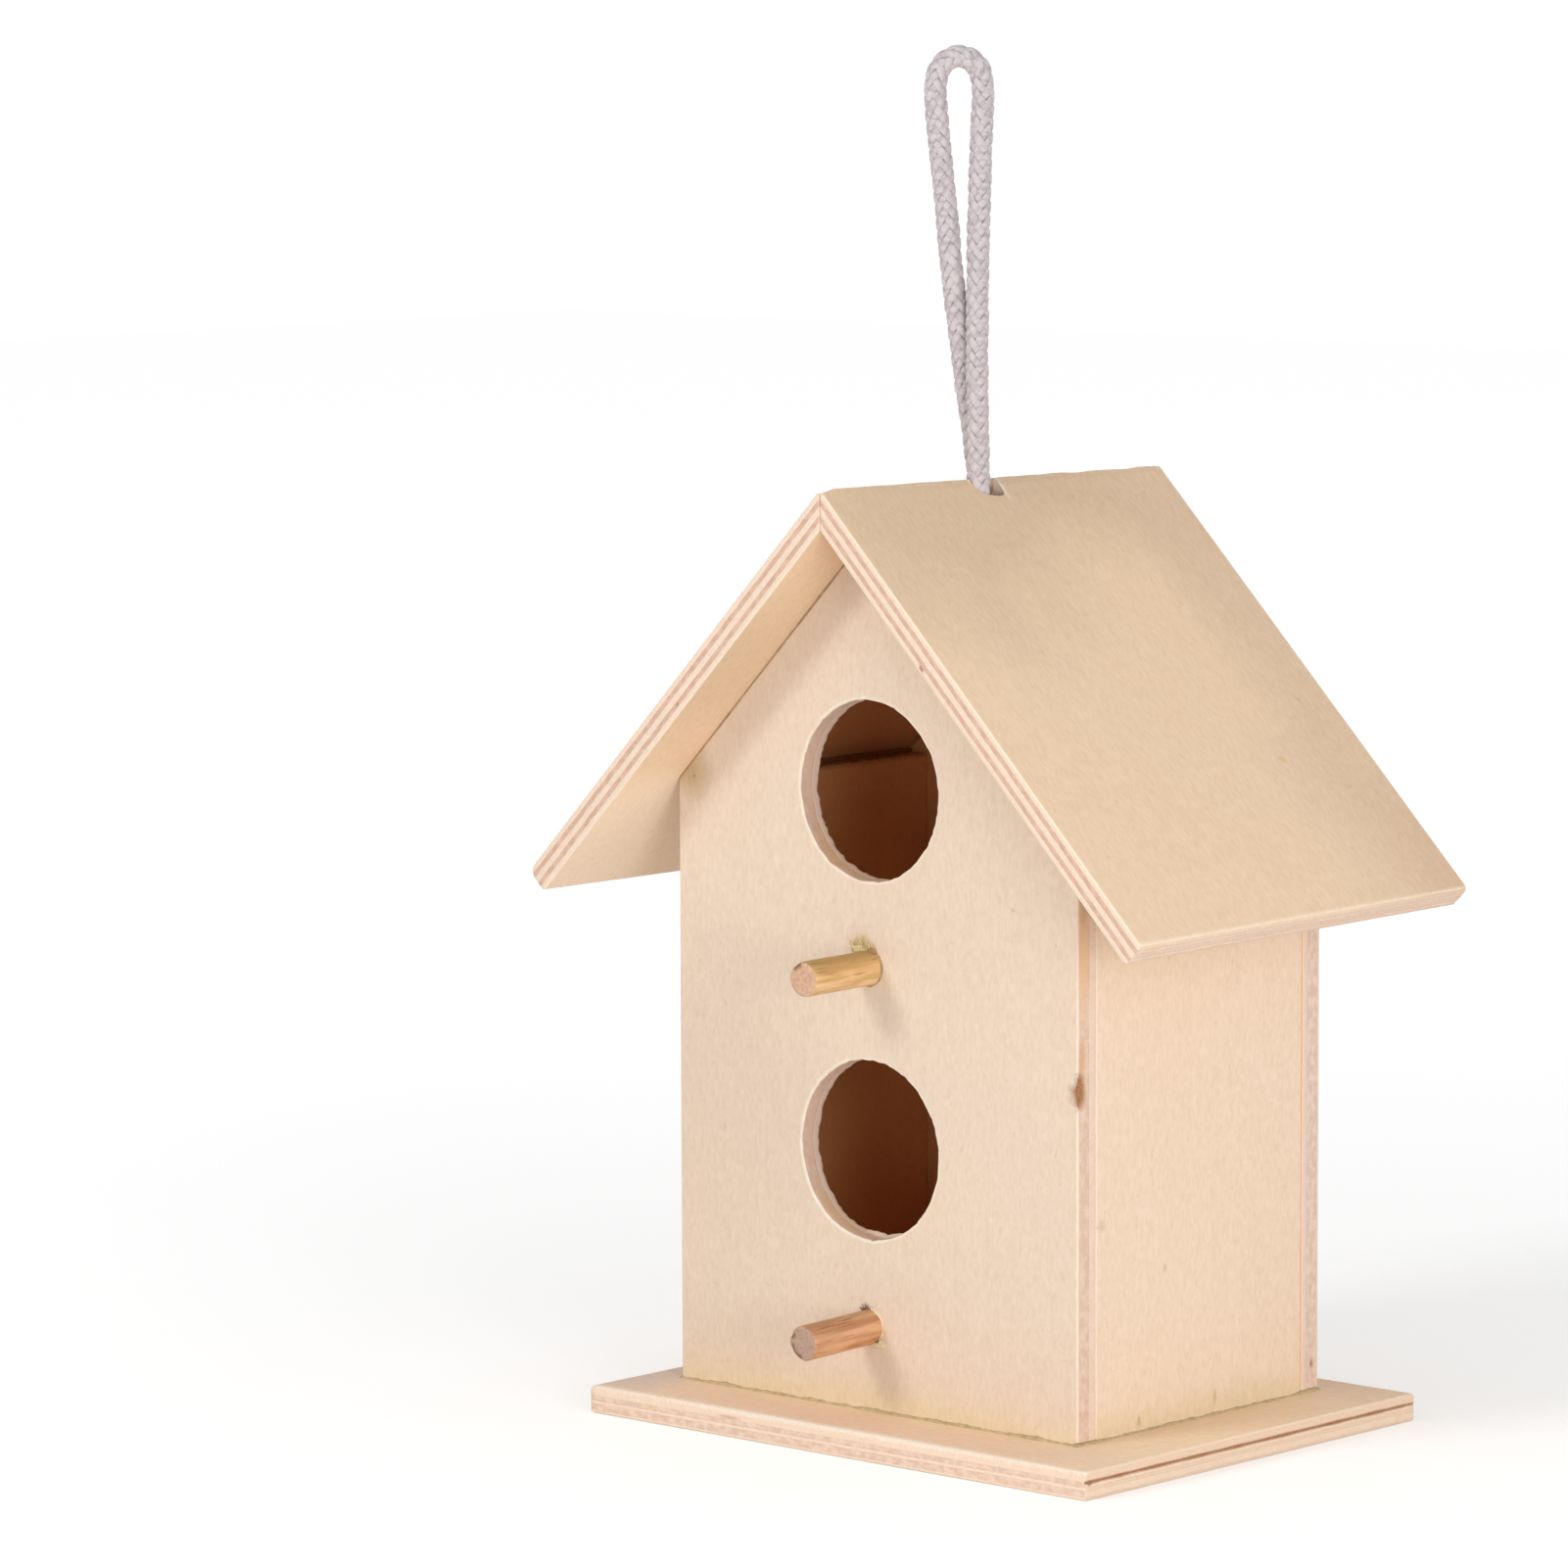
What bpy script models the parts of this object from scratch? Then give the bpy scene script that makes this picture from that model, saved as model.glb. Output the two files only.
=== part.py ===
"""Bird nest box: a small two-storey house of thin plywood, hung from a cord loop.

A base plate carries four walls, and two roof boards meet in a mitre at the ridge. The front wall
has two round entrance holes, each with a dowel perch under it. The cord's two strands pass
through a hole in the ridge and are knotted together inside.

The front faces -Y, the ridge runs along Y, and +Z is up. The origin is on the underside of the
base plate, under the middle of the walls. Sizes are in metres and angles in radians.
"""
import math

import bmesh
import bpy
from mathutils import Matrix, Vector

# Boards: every one is cut from the same five-layer plywood
ply = 0.005
seam = 0.0003                        # room for glue between two pieces
arris = 0.00035                      # sanded edge of a board
arc_steps = 5                        # faces in a rounded corner
weld = 0.000004                      # points closer than this are one
overrun = 0.002                      # how far a drill or cutter runs past a face

# Walls
house_width = 0.0935
house_depth = 0.0672
wall_height = 0.1089                 # up to the shoulder, where wall and roof meet

# Base plate, which stands out unevenly round the walls
base_front_margin = 0.0156
base_back_margin = 0.0090
base_left_margin = 0.0081
base_right_margin = 0.0149

# Roof
roof_pitch = math.radians(45.5)
left_roof_board_length = 0.1013      # from the ridge down to the eave
right_roof_board_length = 0.1024
roof_front_overhang = 0.0139
roof_back_overhang = 0.0110
ridge_flat = 0.0005                  # sanded strip along the ridge
eave_rounding = 0.0016

# Entrance holes, one to a storey
entrance_radius = 0.0160
lower_entrance_height = 0.0464       # of its middle, above the foot of the wall
storey_height = 0.0638               # from one entrance hole to the next
drill_line_offset = -0.0012          # the drilled holes sit a little left of the middle

# Perches, glued into holes through the front wall
perch_radius = 0.0031
lower_perch_reach = 0.0177           # in front of the wall
upper_perch_reach = 0.0173
perch_rounding = 0.0005
lower_perch_drop = 0.0316            # below the middle of its entrance hole
upper_perch_drop = 0.0313
lower_perch_droop = math.radians(1.7)
upper_perch_droop = math.radians(0.9)

# Hanging cord
cord_diameter = 0.0040
cord_hole_radius = 0.0045
cord_hole_from_front = 0.0431        # from the front end of the ridge
cord_pivot_rise = 0.0030             # the cord bends this far above the ridge
cord_turn = math.radians(42.3)       # the loop's eye faces the right front corner
cord_step = 0.0025
knot_radius = 0.0066
knot_height = 0.0125
knot_foot_share = 0.62               # flat foot of the knot, as a share of its radius
knot_shoulder_share = 0.12           # how much lower than its seat the knot is widest, of its height
tail_length = 0.0105                 # cord left over below the knot
tail_splay = math.radians(14.0)
tail_spread_share = 0.62             # between the tails, as a share of the cord's diameter

# The cord's route, chosen by hand: across the loop, towards its front, and up from the roof's apex
front_strand_route = [
    (-0.0006, 0.00215, -0.0060),
    (-0.0006, 0.00215, 0.0000),
    (-0.0007, 0.00215, 0.0050),
    (-0.0008, 0.00213, 0.0090),
]
rear_strand_route = [
    (-0.0006, -0.00215, -0.0060),
    (-0.0007, -0.00215, 0.0000),
    (-0.0012, -0.00215, 0.0050),
    (-0.0016, -0.00213, 0.0090),
]
loop_route = [
    (-0.0008, 0.00213, 0.0093),
    (-0.0008, 0.00195, 0.0150),
    (-0.0009, 0.0017, 0.0220),
    (-0.0008, 0.0013, 0.0290),
    (-0.0007, 0.0009, 0.0360),
    (-0.0005, 0.0005, 0.0460),
    (-0.0002, 0.0002, 0.0560),
    (0.0001, 0.0000, 0.0640),
    (0.0002, 0.0000, 0.0690),
    (-0.0008, 0.0000, 0.0726),
    (-0.0039, 0.0000, 0.0742),
    (-0.0070, 0.0000, 0.0726),
    (-0.0081, 0.0000, 0.0690),
    (-0.0079, 0.0000, 0.0640),
    (-0.0071, -0.0002, 0.0560),
    (-0.0061, -0.0005, 0.0460),
    (-0.0052, -0.0009, 0.0360),
    (-0.0043, -0.0013, 0.0290),
    (-0.0035, -0.0017, 0.0220),
    (-0.0026, -0.00195, 0.0150),
    (-0.0016, -0.00213, 0.0093),
]

# Places that follow from the sizes above
front_face = -house_depth / 2
back_face = house_depth / 2
base_top = ply
wall_foot = base_top + seam
shoulder = wall_foot + wall_height
gable_rise = house_width / 2 * math.tan(roof_pitch)
underside_apex = shoulder + gable_rise + seam / math.cos(roof_pitch)
roof_apex = underside_apex + ply / math.cos(roof_pitch)
roof_front = front_face - roof_front_overhang
roof_back = back_face + roof_back_overhang
ridge_top = roof_apex - ridge_flat / 2 * math.tan(roof_pitch)
upper_entrance_height = lower_entrance_height + storey_height
lower_perch_height = lower_entrance_height - lower_perch_drop
upper_perch_height = upper_entrance_height - upper_perch_drop
cord_hole_y = roof_front + cord_hole_from_front
cord_exit = Vector((0, cord_hole_y, roof_apex))
cord_radius = cord_diameter / 2
knot_top = underside_apex - cord_hole_radius * math.tan(roof_pitch) - seam


def remove_everything():
    """Empty the scene."""
    for item in list(bpy.data.objects):
        bpy.data.objects.remove(item, do_unlink=True)


def finish(name, colour, roughness):
    """A matt finish with its own colour."""
    material = bpy.data.materials.new(name)
    material.use_nodes = True
    shader = material.node_tree.nodes["Principled BSDF"]
    shader.inputs["Base Color"].default_value = (*colour, 1.0)
    shader.inputs["Roughness"].default_value = roughness
    shader.inputs["Metallic"].default_value = 0.0
    return material


def new_object(name, mesh):
    """An object in the scene for a mesh."""
    item = bpy.data.objects.new(name, mesh)
    bpy.context.scene.collection.objects.link(item)
    return item


def as_mesh(name, shape):
    """A mesh with its faces turned outward, from an edited shape."""
    bmesh.ops.recalc_face_normals(shape, faces=shape.faces[:])
    mesh = bpy.data.meshes.new(name)
    shape.to_mesh(mesh)
    shape.free()
    return mesh


def rounded_outline(corners, radii):
    """The outline with each corner that has a radius turned into an arc."""
    outline = []
    count = len(corners)
    for index, radius in enumerate(radii):
        corner = Vector(corners[index])
        before = (Vector(corners[index - 1]) - corner).normalized()
        after = (Vector(corners[(index + 1) % count]) - corner).normalized()
        if radius == 0:
            outline.append(corner)
            continue
        half_angle = before.angle(after) / 2
        centre = corner + (before + after).normalized() * radius / math.sin(half_angle)
        start = corner + before * radius / math.tan(half_angle) - centre
        end = corner + after * radius / math.tan(half_angle) - centre
        for step in range(arc_steps + 1):
            share = step / arc_steps
            outline.append(centre + (start * (1 - share) + end * share).normalized() * radius)
    return outline


def board_along_y(name, outline, front, back):
    """A board whose outline lies in the XZ plane, from its front to its back."""
    shape = bmesh.new()
    ring = [shape.verts.new((x, front, z)) for x, z in outline]
    face = shape.faces.new(ring)
    grown = bmesh.ops.extrude_face_region(shape, geom=[face])
    moved = [part for part in grown["geom"] if isinstance(part, bmesh.types.BMVert)]
    bmesh.ops.translate(shape, verts=moved, vec=(0, back - front, 0))
    return new_object(name, as_mesh(name, shape))


def block(name, low, high):
    """A rectangular board between two corners."""
    outline = [(low[0], low[2]), (high[0], low[2]), (high[0], high[2]), (low[0], high[2])]
    return board_along_y(name, outline, low[1], high[1])


def rod(name, radius, length, sides, rounding):
    """A round rod along +Z from the origin, with rounded ends where a rounding is given."""
    shape = bmesh.new()
    bmesh.ops.create_cone(shape, cap_ends=True, segments=sides, radius1=radius, radius2=radius,
                          depth=length, matrix=Matrix.Translation((0, 0, length / 2)))
    if rounding > 0:
        rims = [edge for edge in shape.edges if not edge.is_manifold or edge.calc_face_angle() > 1]
        bmesh.ops.bevel(shape, geom=rims, offset=rounding, segments=2, profile=0.5, affect="EDGES")
    return new_object(name, as_mesh(name, shape))


def cut_with(item, cutter):
    """Take a cutter's shape out of a piece."""
    cutter.hide_render = True
    cutter.display_type = "WIRE"
    step = item.modifiers.new("cut " + cutter.name, "BOOLEAN")
    step.operation = "DIFFERENCE"
    step.solver = "EXACT"
    step.object = cutter


def sand_edges(item):
    """Take the sharpness off every edge of a board."""
    step = item.modifiers.new("sanded edges", "BEVEL")
    step.width = arris
    step.segments = 2
    step.limit_method = "ANGLE"
    step.angle_limit = math.radians(40)


def shade_round(item):
    """Smooth shading, with the sharp edges kept."""
    item.data.shade_smooth()
    item.data.set_sharp_from_angle(angle=math.radians(35))


def facing_front(droop):
    """Turns a rod from +Z to -Y, with its tip lowered by the droop."""
    return (math.pi / 2 + droop, 0, 0)


def base_plate():
    """The plate under the walls, set further out at the front and the right."""
    low = (-house_width / 2 - base_left_margin, front_face - base_front_margin, 0)
    high = (house_width / 2 + base_right_margin, back_face + base_back_margin, base_top)
    board = block("base_plate", low, high)
    sand_edges(board)
    board.data.materials.append(finish("base ply", (0.80, 0.62, 0.42), 0.7))


def gable_outline():
    """The five-cornered outline of the front and back walls."""
    half = house_width / 2
    return [(-half, wall_foot), (half, wall_foot), (half, shoulder),
            (0, shoulder + gable_rise), (-half, shoulder)]


def perch_axis(height):
    """Where a perch leaves the front face."""
    return Vector((drill_line_offset, front_face, wall_foot + height))


def front_panel():
    """The front wall with its entrance holes and its two perch holes."""
    board = board_along_y("front_panel", gable_outline(), front_face, front_face + ply)
    for label, height in (("lower", lower_entrance_height), ("upper", upper_entrance_height)):
        drill = rod(label + "_entrance_cutter", entrance_radius, ply + 2 * overrun, 64, 0)
        drill.rotation_euler = facing_front(0)
        drill.location = (drill_line_offset, front_face + ply + overrun, wall_foot + height)
        cut_with(board, drill)
    for label, height, droop in (("lower", lower_perch_height, lower_perch_droop),
                                 ("upper", upper_perch_height, upper_perch_droop)):
        drill = rod(label + "_perch_cutter", perch_radius + seam, ply + 2 * overrun, 32, 0)
        drill.rotation_euler = facing_front(droop)
        inward = Vector((0, math.cos(droop), math.sin(droop)))
        drill.location = perch_axis(height) + inward * (ply + overrun)
        cut_with(board, drill)
    sand_edges(board)
    board.data.materials.append(finish("front ply", (0.86, 0.70, 0.53), 0.7))


def back_panel():
    """The back wall, as the front one but whole."""
    board = board_along_y("back_panel", gable_outline(), back_face - ply, back_face)
    sand_edges(board)
    board.data.materials.append(finish("back ply", (0.86, 0.70, 0.53), 0.7))


def side_panel(name, side):
    """A side wall between front and back, cut square where it meets the sloping roof."""
    outer = side * house_width / 2
    inner = side * (house_width / 2 - ply)
    low = (min(outer, inner), front_face + ply + seam, wall_foot)
    high = (max(outer, inner), back_face - ply - seam, shoulder)
    board = block(name, low, high)
    sand_edges(board)
    board.data.materials.append(finish(name + " ply", (0.88, 0.68, 0.50), 0.7))


def cord_drill():
    """The drill that makes the cord's hole straight down through the ridge."""
    length = roof_apex - underside_apex + cord_hole_radius * math.tan(roof_pitch) + 2 * overrun
    drill = rod("cord_hole_cutter", cord_hole_radius, length, 32, 0)
    drill.location = (0, cord_hole_y, roof_apex + overrun - length)
    return drill


def roof_panel(name, side, length, drill):
    """One roof board: mitred at the ridge, square and well rounded at the eave."""
    slope = math.tan(roof_pitch)
    run = length * math.cos(roof_pitch)
    drop = length * math.sin(roof_pitch)
    mitre = seam / 2
    corners = [
        (mitre, ridge_top),
        (ridge_flat / 2, ridge_top),
        (run, roof_apex - drop),
        (run - ply * math.sin(roof_pitch), roof_apex - drop - ply * math.cos(roof_pitch)),
        (mitre, underside_apex - mitre * slope),
    ]
    outline = rounded_outline(corners, (0, 0, eave_rounding, eave_rounding, 0))
    outline = [(side * x, z) for x, z in outline]
    board = board_along_y(name, outline, roof_front, roof_back)
    cut_with(board, drill)
    sand_edges(board)
    board.data.materials.append(finish(name + " ply", (0.79, 0.62, 0.42), 0.7))


def perch(name, height, reach, droop, colour):
    """A dowel glued into its hole, flush with the inside of the front wall."""
    dowel = rod(name, perch_radius, reach + ply, 32, perch_rounding)
    dowel.rotation_euler = facing_front(droop)
    inward = Vector((0, math.cos(droop), math.sin(droop)))
    dowel.location = perch_axis(height) + inward * ply
    shade_round(dowel)
    dowel.data.materials.append(finish(name + " wood", colour, 0.6))


def smooth_route(points):
    """Evenly spaced points on a smooth curve through the route's points."""
    padded = [2 * points[0] - points[1]] + points + [2 * points[-1] - points[-2]]
    fine = []
    samples = 24
    for index in range(1, len(padded) - 2):
        a, b, c, d = padded[index - 1:index + 3]
        for sample in range(samples):
            t = sample / samples
            fine.append(0.5 * (2 * b + (c - a) * t + (2 * a - 5 * b + 4 * c - d) * t ** 2
                               + (3 * b - a - 3 * c + d) * t ** 3))
    fine.append(points[-1])
    lengths = [0.0]
    for first, second in zip(fine, fine[1:]):
        lengths.append(lengths[-1] + (second - first).length)
    spans = max(2, round(lengths[-1] / cord_step))
    even = []
    cursor = 0
    for span in range(spans + 1):
        wanted = lengths[-1] * span / spans
        while cursor < len(lengths) - 2 and lengths[cursor + 1] < wanted:
            cursor += 1
        share = (wanted - lengths[cursor]) / (lengths[cursor + 1] - lengths[cursor])
        even.append(fine[cursor].lerp(fine[cursor + 1], share))
    return even


def at_ridge(route):
    """A route's points turned with the loop and set over the hole in the ridge."""
    turn = Matrix.Rotation(cord_turn, 3, "Z")
    return [cord_exit + turn @ Vector((across, -towards, up)) for across, towards, up in route]


def cord_tube(name, points, origin, material):
    """A length of the cord as a tube with flat ends."""
    curve = bpy.data.curves.new(name, "CURVE")
    curve.dimensions = "3D"
    curve.bevel_depth = cord_radius
    curve.bevel_resolution = 2
    curve.use_fill_caps = True
    line = curve.splines.new("POLY")
    places = smooth_route(points)
    line.points.add(len(places) - 1)
    for target, place in zip(line.points, places):
        target.co = (*(place - origin), 1.0)
    tube = new_object(name, curve)
    tube.location = origin
    tube.data.materials.append(material)
    return tube


def hanging_cord():
    """The two strands in the ridge, and the loop that bends over on top of them."""
    material = finish("cotton cord", (0.72, 0.68, 0.71), 0.9)
    for name, route in (("cord_neck_front", front_strand_route), ("cord_neck_rear", rear_strand_route)):
        points = at_ridge(route)
        foot = points[0].copy()
        foot.z = knot_top + seam
        cord_tube(name, [foot] + points, cord_exit, material)
    pivot = cord_exit + Vector((0, 0, cord_pivot_rise))
    cord_tube("hanging_loop", at_ridge(loop_route), pivot, material)


def cord_knot():
    """The knot that holds both strands under the ridge, with the cord's two short tails."""
    flat_top = cord_hole_radius - seam
    seat_depth = (knot_radius - flat_top) * math.tan(roof_pitch)
    widest = knot_top - seat_depth - knot_height * knot_shoulder_share
    foot = knot_top - knot_height
    flat_foot = knot_radius * knot_foot_share
    shape = bmesh.new()
    profile = [(0, knot_top), (flat_top, knot_top)]
    for step in range(1, arc_steps):
        turn = math.pi / 2 * step / arc_steps
        profile.append((flat_top + (knot_radius - flat_top) * math.sin(turn),
                        widest + (knot_top - widest) * math.cos(turn)))
    for step in range(arc_steps + 1):
        turn = math.pi / 2 * step / arc_steps
        profile.append((flat_foot + (knot_radius - flat_foot) * math.cos(turn),
                        widest - (widest - foot) * math.sin(turn)))
    profile.append((0, foot))
    points = [shape.verts.new((radius, cord_hole_y, height)) for radius, height in profile]
    edges = [shape.edges.new(pair) for pair in zip(points, points[1:])]
    bmesh.ops.spin(shape, geom=points + edges, cent=(0, cord_hole_y, 0), axis=(0, 0, 1),
                   angle=2 * math.pi, steps=24)
    bmesh.ops.remove_doubles(shape, verts=shape.verts[:], dist=weld)
    knot = new_object("cord_knot", as_mesh("cord_knot", shape))
    for label, side in (("first", 1), ("second", -1)):
        tail = rod(label + "_tail_shape", cord_radius, knot_height / 2 + tail_length, 12, 0)
        tail.rotation_euler = (math.pi, side * tail_splay, 0)
        spread = side * cord_diameter * tail_spread_share
        tail.location = (-spread, cord_hole_y, knot_top - knot_height / 2)
        tail.hide_render = True
        tail.display_type = "WIRE"
        join = knot.modifiers.new("join " + tail.name, "BOOLEAN")
        join.operation = "UNION"
        join.solver = "EXACT"
        join.object = tail
    shade_round(knot)
    knot.data.materials.append(finish("knotted cotton cord", (0.72, 0.68, 0.71), 0.9))


def build():
    """Put the nest box together from the base up."""
    remove_everything()
    base_plate()
    front_panel()
    back_panel()
    side_panel("left_side_panel", -1)
    side_panel("right_side_panel", 1)
    drill = cord_drill()
    roof_panel("left_roof_panel", -1, left_roof_board_length, drill)
    roof_panel("right_roof_panel", 1, right_roof_board_length, drill)
    perch("lower_perch", lower_perch_height, lower_perch_reach, lower_perch_droop, (0.60, 0.29, 0.13))
    perch("upper_perch", upper_perch_height, upper_perch_reach, upper_perch_droop, (0.74, 0.43, 0.16))
    hanging_cord()
    cord_knot()


build()
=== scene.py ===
import math
from functools import partial
from itertools import accumulate

import bmesh
import bpy
import numpy as np
from mathutils import Matrix, Vector, noise


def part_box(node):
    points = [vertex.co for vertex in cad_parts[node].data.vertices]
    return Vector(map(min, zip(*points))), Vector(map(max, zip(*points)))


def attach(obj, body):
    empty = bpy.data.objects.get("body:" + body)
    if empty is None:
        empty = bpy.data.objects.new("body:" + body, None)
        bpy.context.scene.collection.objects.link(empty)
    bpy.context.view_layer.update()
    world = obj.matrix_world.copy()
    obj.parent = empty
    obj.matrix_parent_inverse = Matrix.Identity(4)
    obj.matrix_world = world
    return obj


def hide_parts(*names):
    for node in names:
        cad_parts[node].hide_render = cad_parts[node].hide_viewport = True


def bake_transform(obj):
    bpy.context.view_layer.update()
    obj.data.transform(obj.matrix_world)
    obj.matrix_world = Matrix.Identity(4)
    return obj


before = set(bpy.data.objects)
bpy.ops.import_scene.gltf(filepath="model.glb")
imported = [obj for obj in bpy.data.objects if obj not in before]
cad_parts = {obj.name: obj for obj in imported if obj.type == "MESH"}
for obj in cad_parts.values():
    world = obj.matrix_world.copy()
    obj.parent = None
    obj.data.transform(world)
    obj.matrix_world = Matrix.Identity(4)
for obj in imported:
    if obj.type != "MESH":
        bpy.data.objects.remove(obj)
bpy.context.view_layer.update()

# Base plate: five-ply birch board that the four walls are glued to, standing out unevenly round them.
# The face veneer's grain runs from side to side. The edges are sawn and roughly sanded, and the upper
# glue joint has opened along the right edge.
mm = 0.001
arris = 0.35 * mm                 # sanded rounding of an edge
corner_blunting = 0.45 * mm
edge_step = 0.6 * mm              # between the points along an edge
level_step = 0.36 * mm            # at most, between the levels of an edge
face_margin = 2.2 * mm            # ring of faces between an edge and the flat of a board
joint_groove = 0.04 * mm          # how deep a glue joint lies in a sawn edge
joint_half = 0.035 * mm
saw_wander = 0.05 * mm
torn_depth = 0.04 * mm            # of the end grain in the plies that lie crosswise
rim_wander = 0.13 * mm            # of an entrance hole's edge
rim_chips = 0.34 * mm
break_out = 0.7 * mm              # splintering where the drill came out behind
break_out_level = 0.75 * mm
slow_saw, quick_saw, torn_grain = 0.09, 0.5, 1.9              # noise cells per millimetre
rim_waves, chip_waves, splinter_waves, flaw_waves = 0.27, 0.8, 1.15, 0.7
inner_shade_brown = (0.88, 0.455, 0.175)                            # the boards' inner faces, painted browner as the shade inside the house
rim_wear_and_highlight = (0.93, 0.82, 0.69)                                # the sanded rim of an entrance hole, lighter both as wear and as a painted highlight


def placed(name, data):
    """A new object in the scene."""
    item = bpy.data.objects.new(name, data)
    bpy.context.scene.collection.objects.link(item)
    return item


def built(name, shape, finish=None):
    """The object that a finished shape becomes. One that gets its finish here stays with the house."""
    mesh = bpy.data.meshes.new(name)
    shape.to_mesh(mesh)
    shape.free()
    piece = placed(name, mesh)
    if finish:
        piece.data.materials.append(finish)
        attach(piece, "house")
    return piece


def skin(shape, rings, smooth=True):
    """Faces from each ring of points to the next."""
    faces = []
    for lower, upper in zip(rings, rings[1:]):
        for index in range(len(lower)):
            after = (index + 1) % len(lower)
            faces.append(shape.faces.new((lower[index], lower[after], upper[after], upper[index])))
            faces[-1].smooth = smooth
    return faces


def inset_outline(corners, insets):
    """The corners of an outline whose sides have each moved inward by their own inset."""
    moved = []
    for index, here in enumerate(corners):
        before = (here - corners[index - 1]).normalized()
        after = (corners[(index + 1) % len(corners)] - here).normalized()
        first, second = Vector((-before.y, before.x)), Vector((-after.y, after.x))
        in_first, in_second = insets[index - 1], insets[index]
        spread = first.x * second.y - first.y * second.x
        moved.append(here + Vector(((in_first * second.y - in_second * first.y) / spread,
                                    (first.x * in_second - second.x * in_first) / spread)))
    return moved


def edge_points(corners, counts):
    """Points round an outline with blunted corners: place, outward direction, side, distance along it."""
    found = []
    for index, start in enumerate(corners):
        end = corners[(index + 1) % len(corners)]
        along, length = (end - start).normalized(), (end - start).length
        before = (start - corners[index - 1]).normalized()
        outward = Vector((along.y, -along.x))
        outward_before = Vector((before.y, -before.x))
        first, last = start - before * corner_blunting, start + along * corner_blunting
        for share in (0.25, 0.5, 0.75):
            place = first * (1 - share) ** 2 + start * 2 * share * (1 - share) + last * share ** 2
            turned = (outward_before * (1 - share) + outward * share).normalized()
            found.append((place, turned, index, share * corner_blunting))
        for step in range(counts[index] + 1):
            distance = corner_blunting + (length - 2 * corner_blunting) * step / counts[index]
            found.append((start + along * distance, outward, index, distance))
    return found


def hole_points(centre, radius, side):
    """Points round a drilled hole, in the same form; the wood's outward direction is into the hole."""
    found = []
    steps = max(48, round(2 * math.pi * radius / edge_step))
    for step in range(steps):
        angle = 2 * math.pi * step / steps
        radial = Vector((math.cos(angle), math.sin(angle)))
        found.append((centre + radial * radius, -radial, side, angle * radius))
    return found


def rounding(radius, depth):
    """How far a rounded edge lies back, at a depth below the face that it rounds."""
    return radius - math.sqrt(radius ** 2 - (radius - depth) ** 2) if depth < radius else 0.0


def edge_levels(plies):
    """The heights through a board at which its edges are modelled: close at the arrises and glue joints."""
    thickness = sum(plies)
    levels = {0.0, thickness}
    for share in (0.13, 0.5, 1.0):
        levels |= {share * arris, thickness - share * arris}
    for joint in list(accumulate(plies))[:-1]:
        levels |= {joint - 3 * joint_half, joint - joint_half, joint + joint_half, joint + 3 * joint_half}
    levels = sorted(levels)
    filled = [levels[0]]
    for level in levels[1:]:
        parts = math.ceil((level - filled[-1]) / level_step)
        low = filled[-1]
        filled += [low + (level - low) * (part + 1) / parts for part in range(parts)]
    return filled


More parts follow.
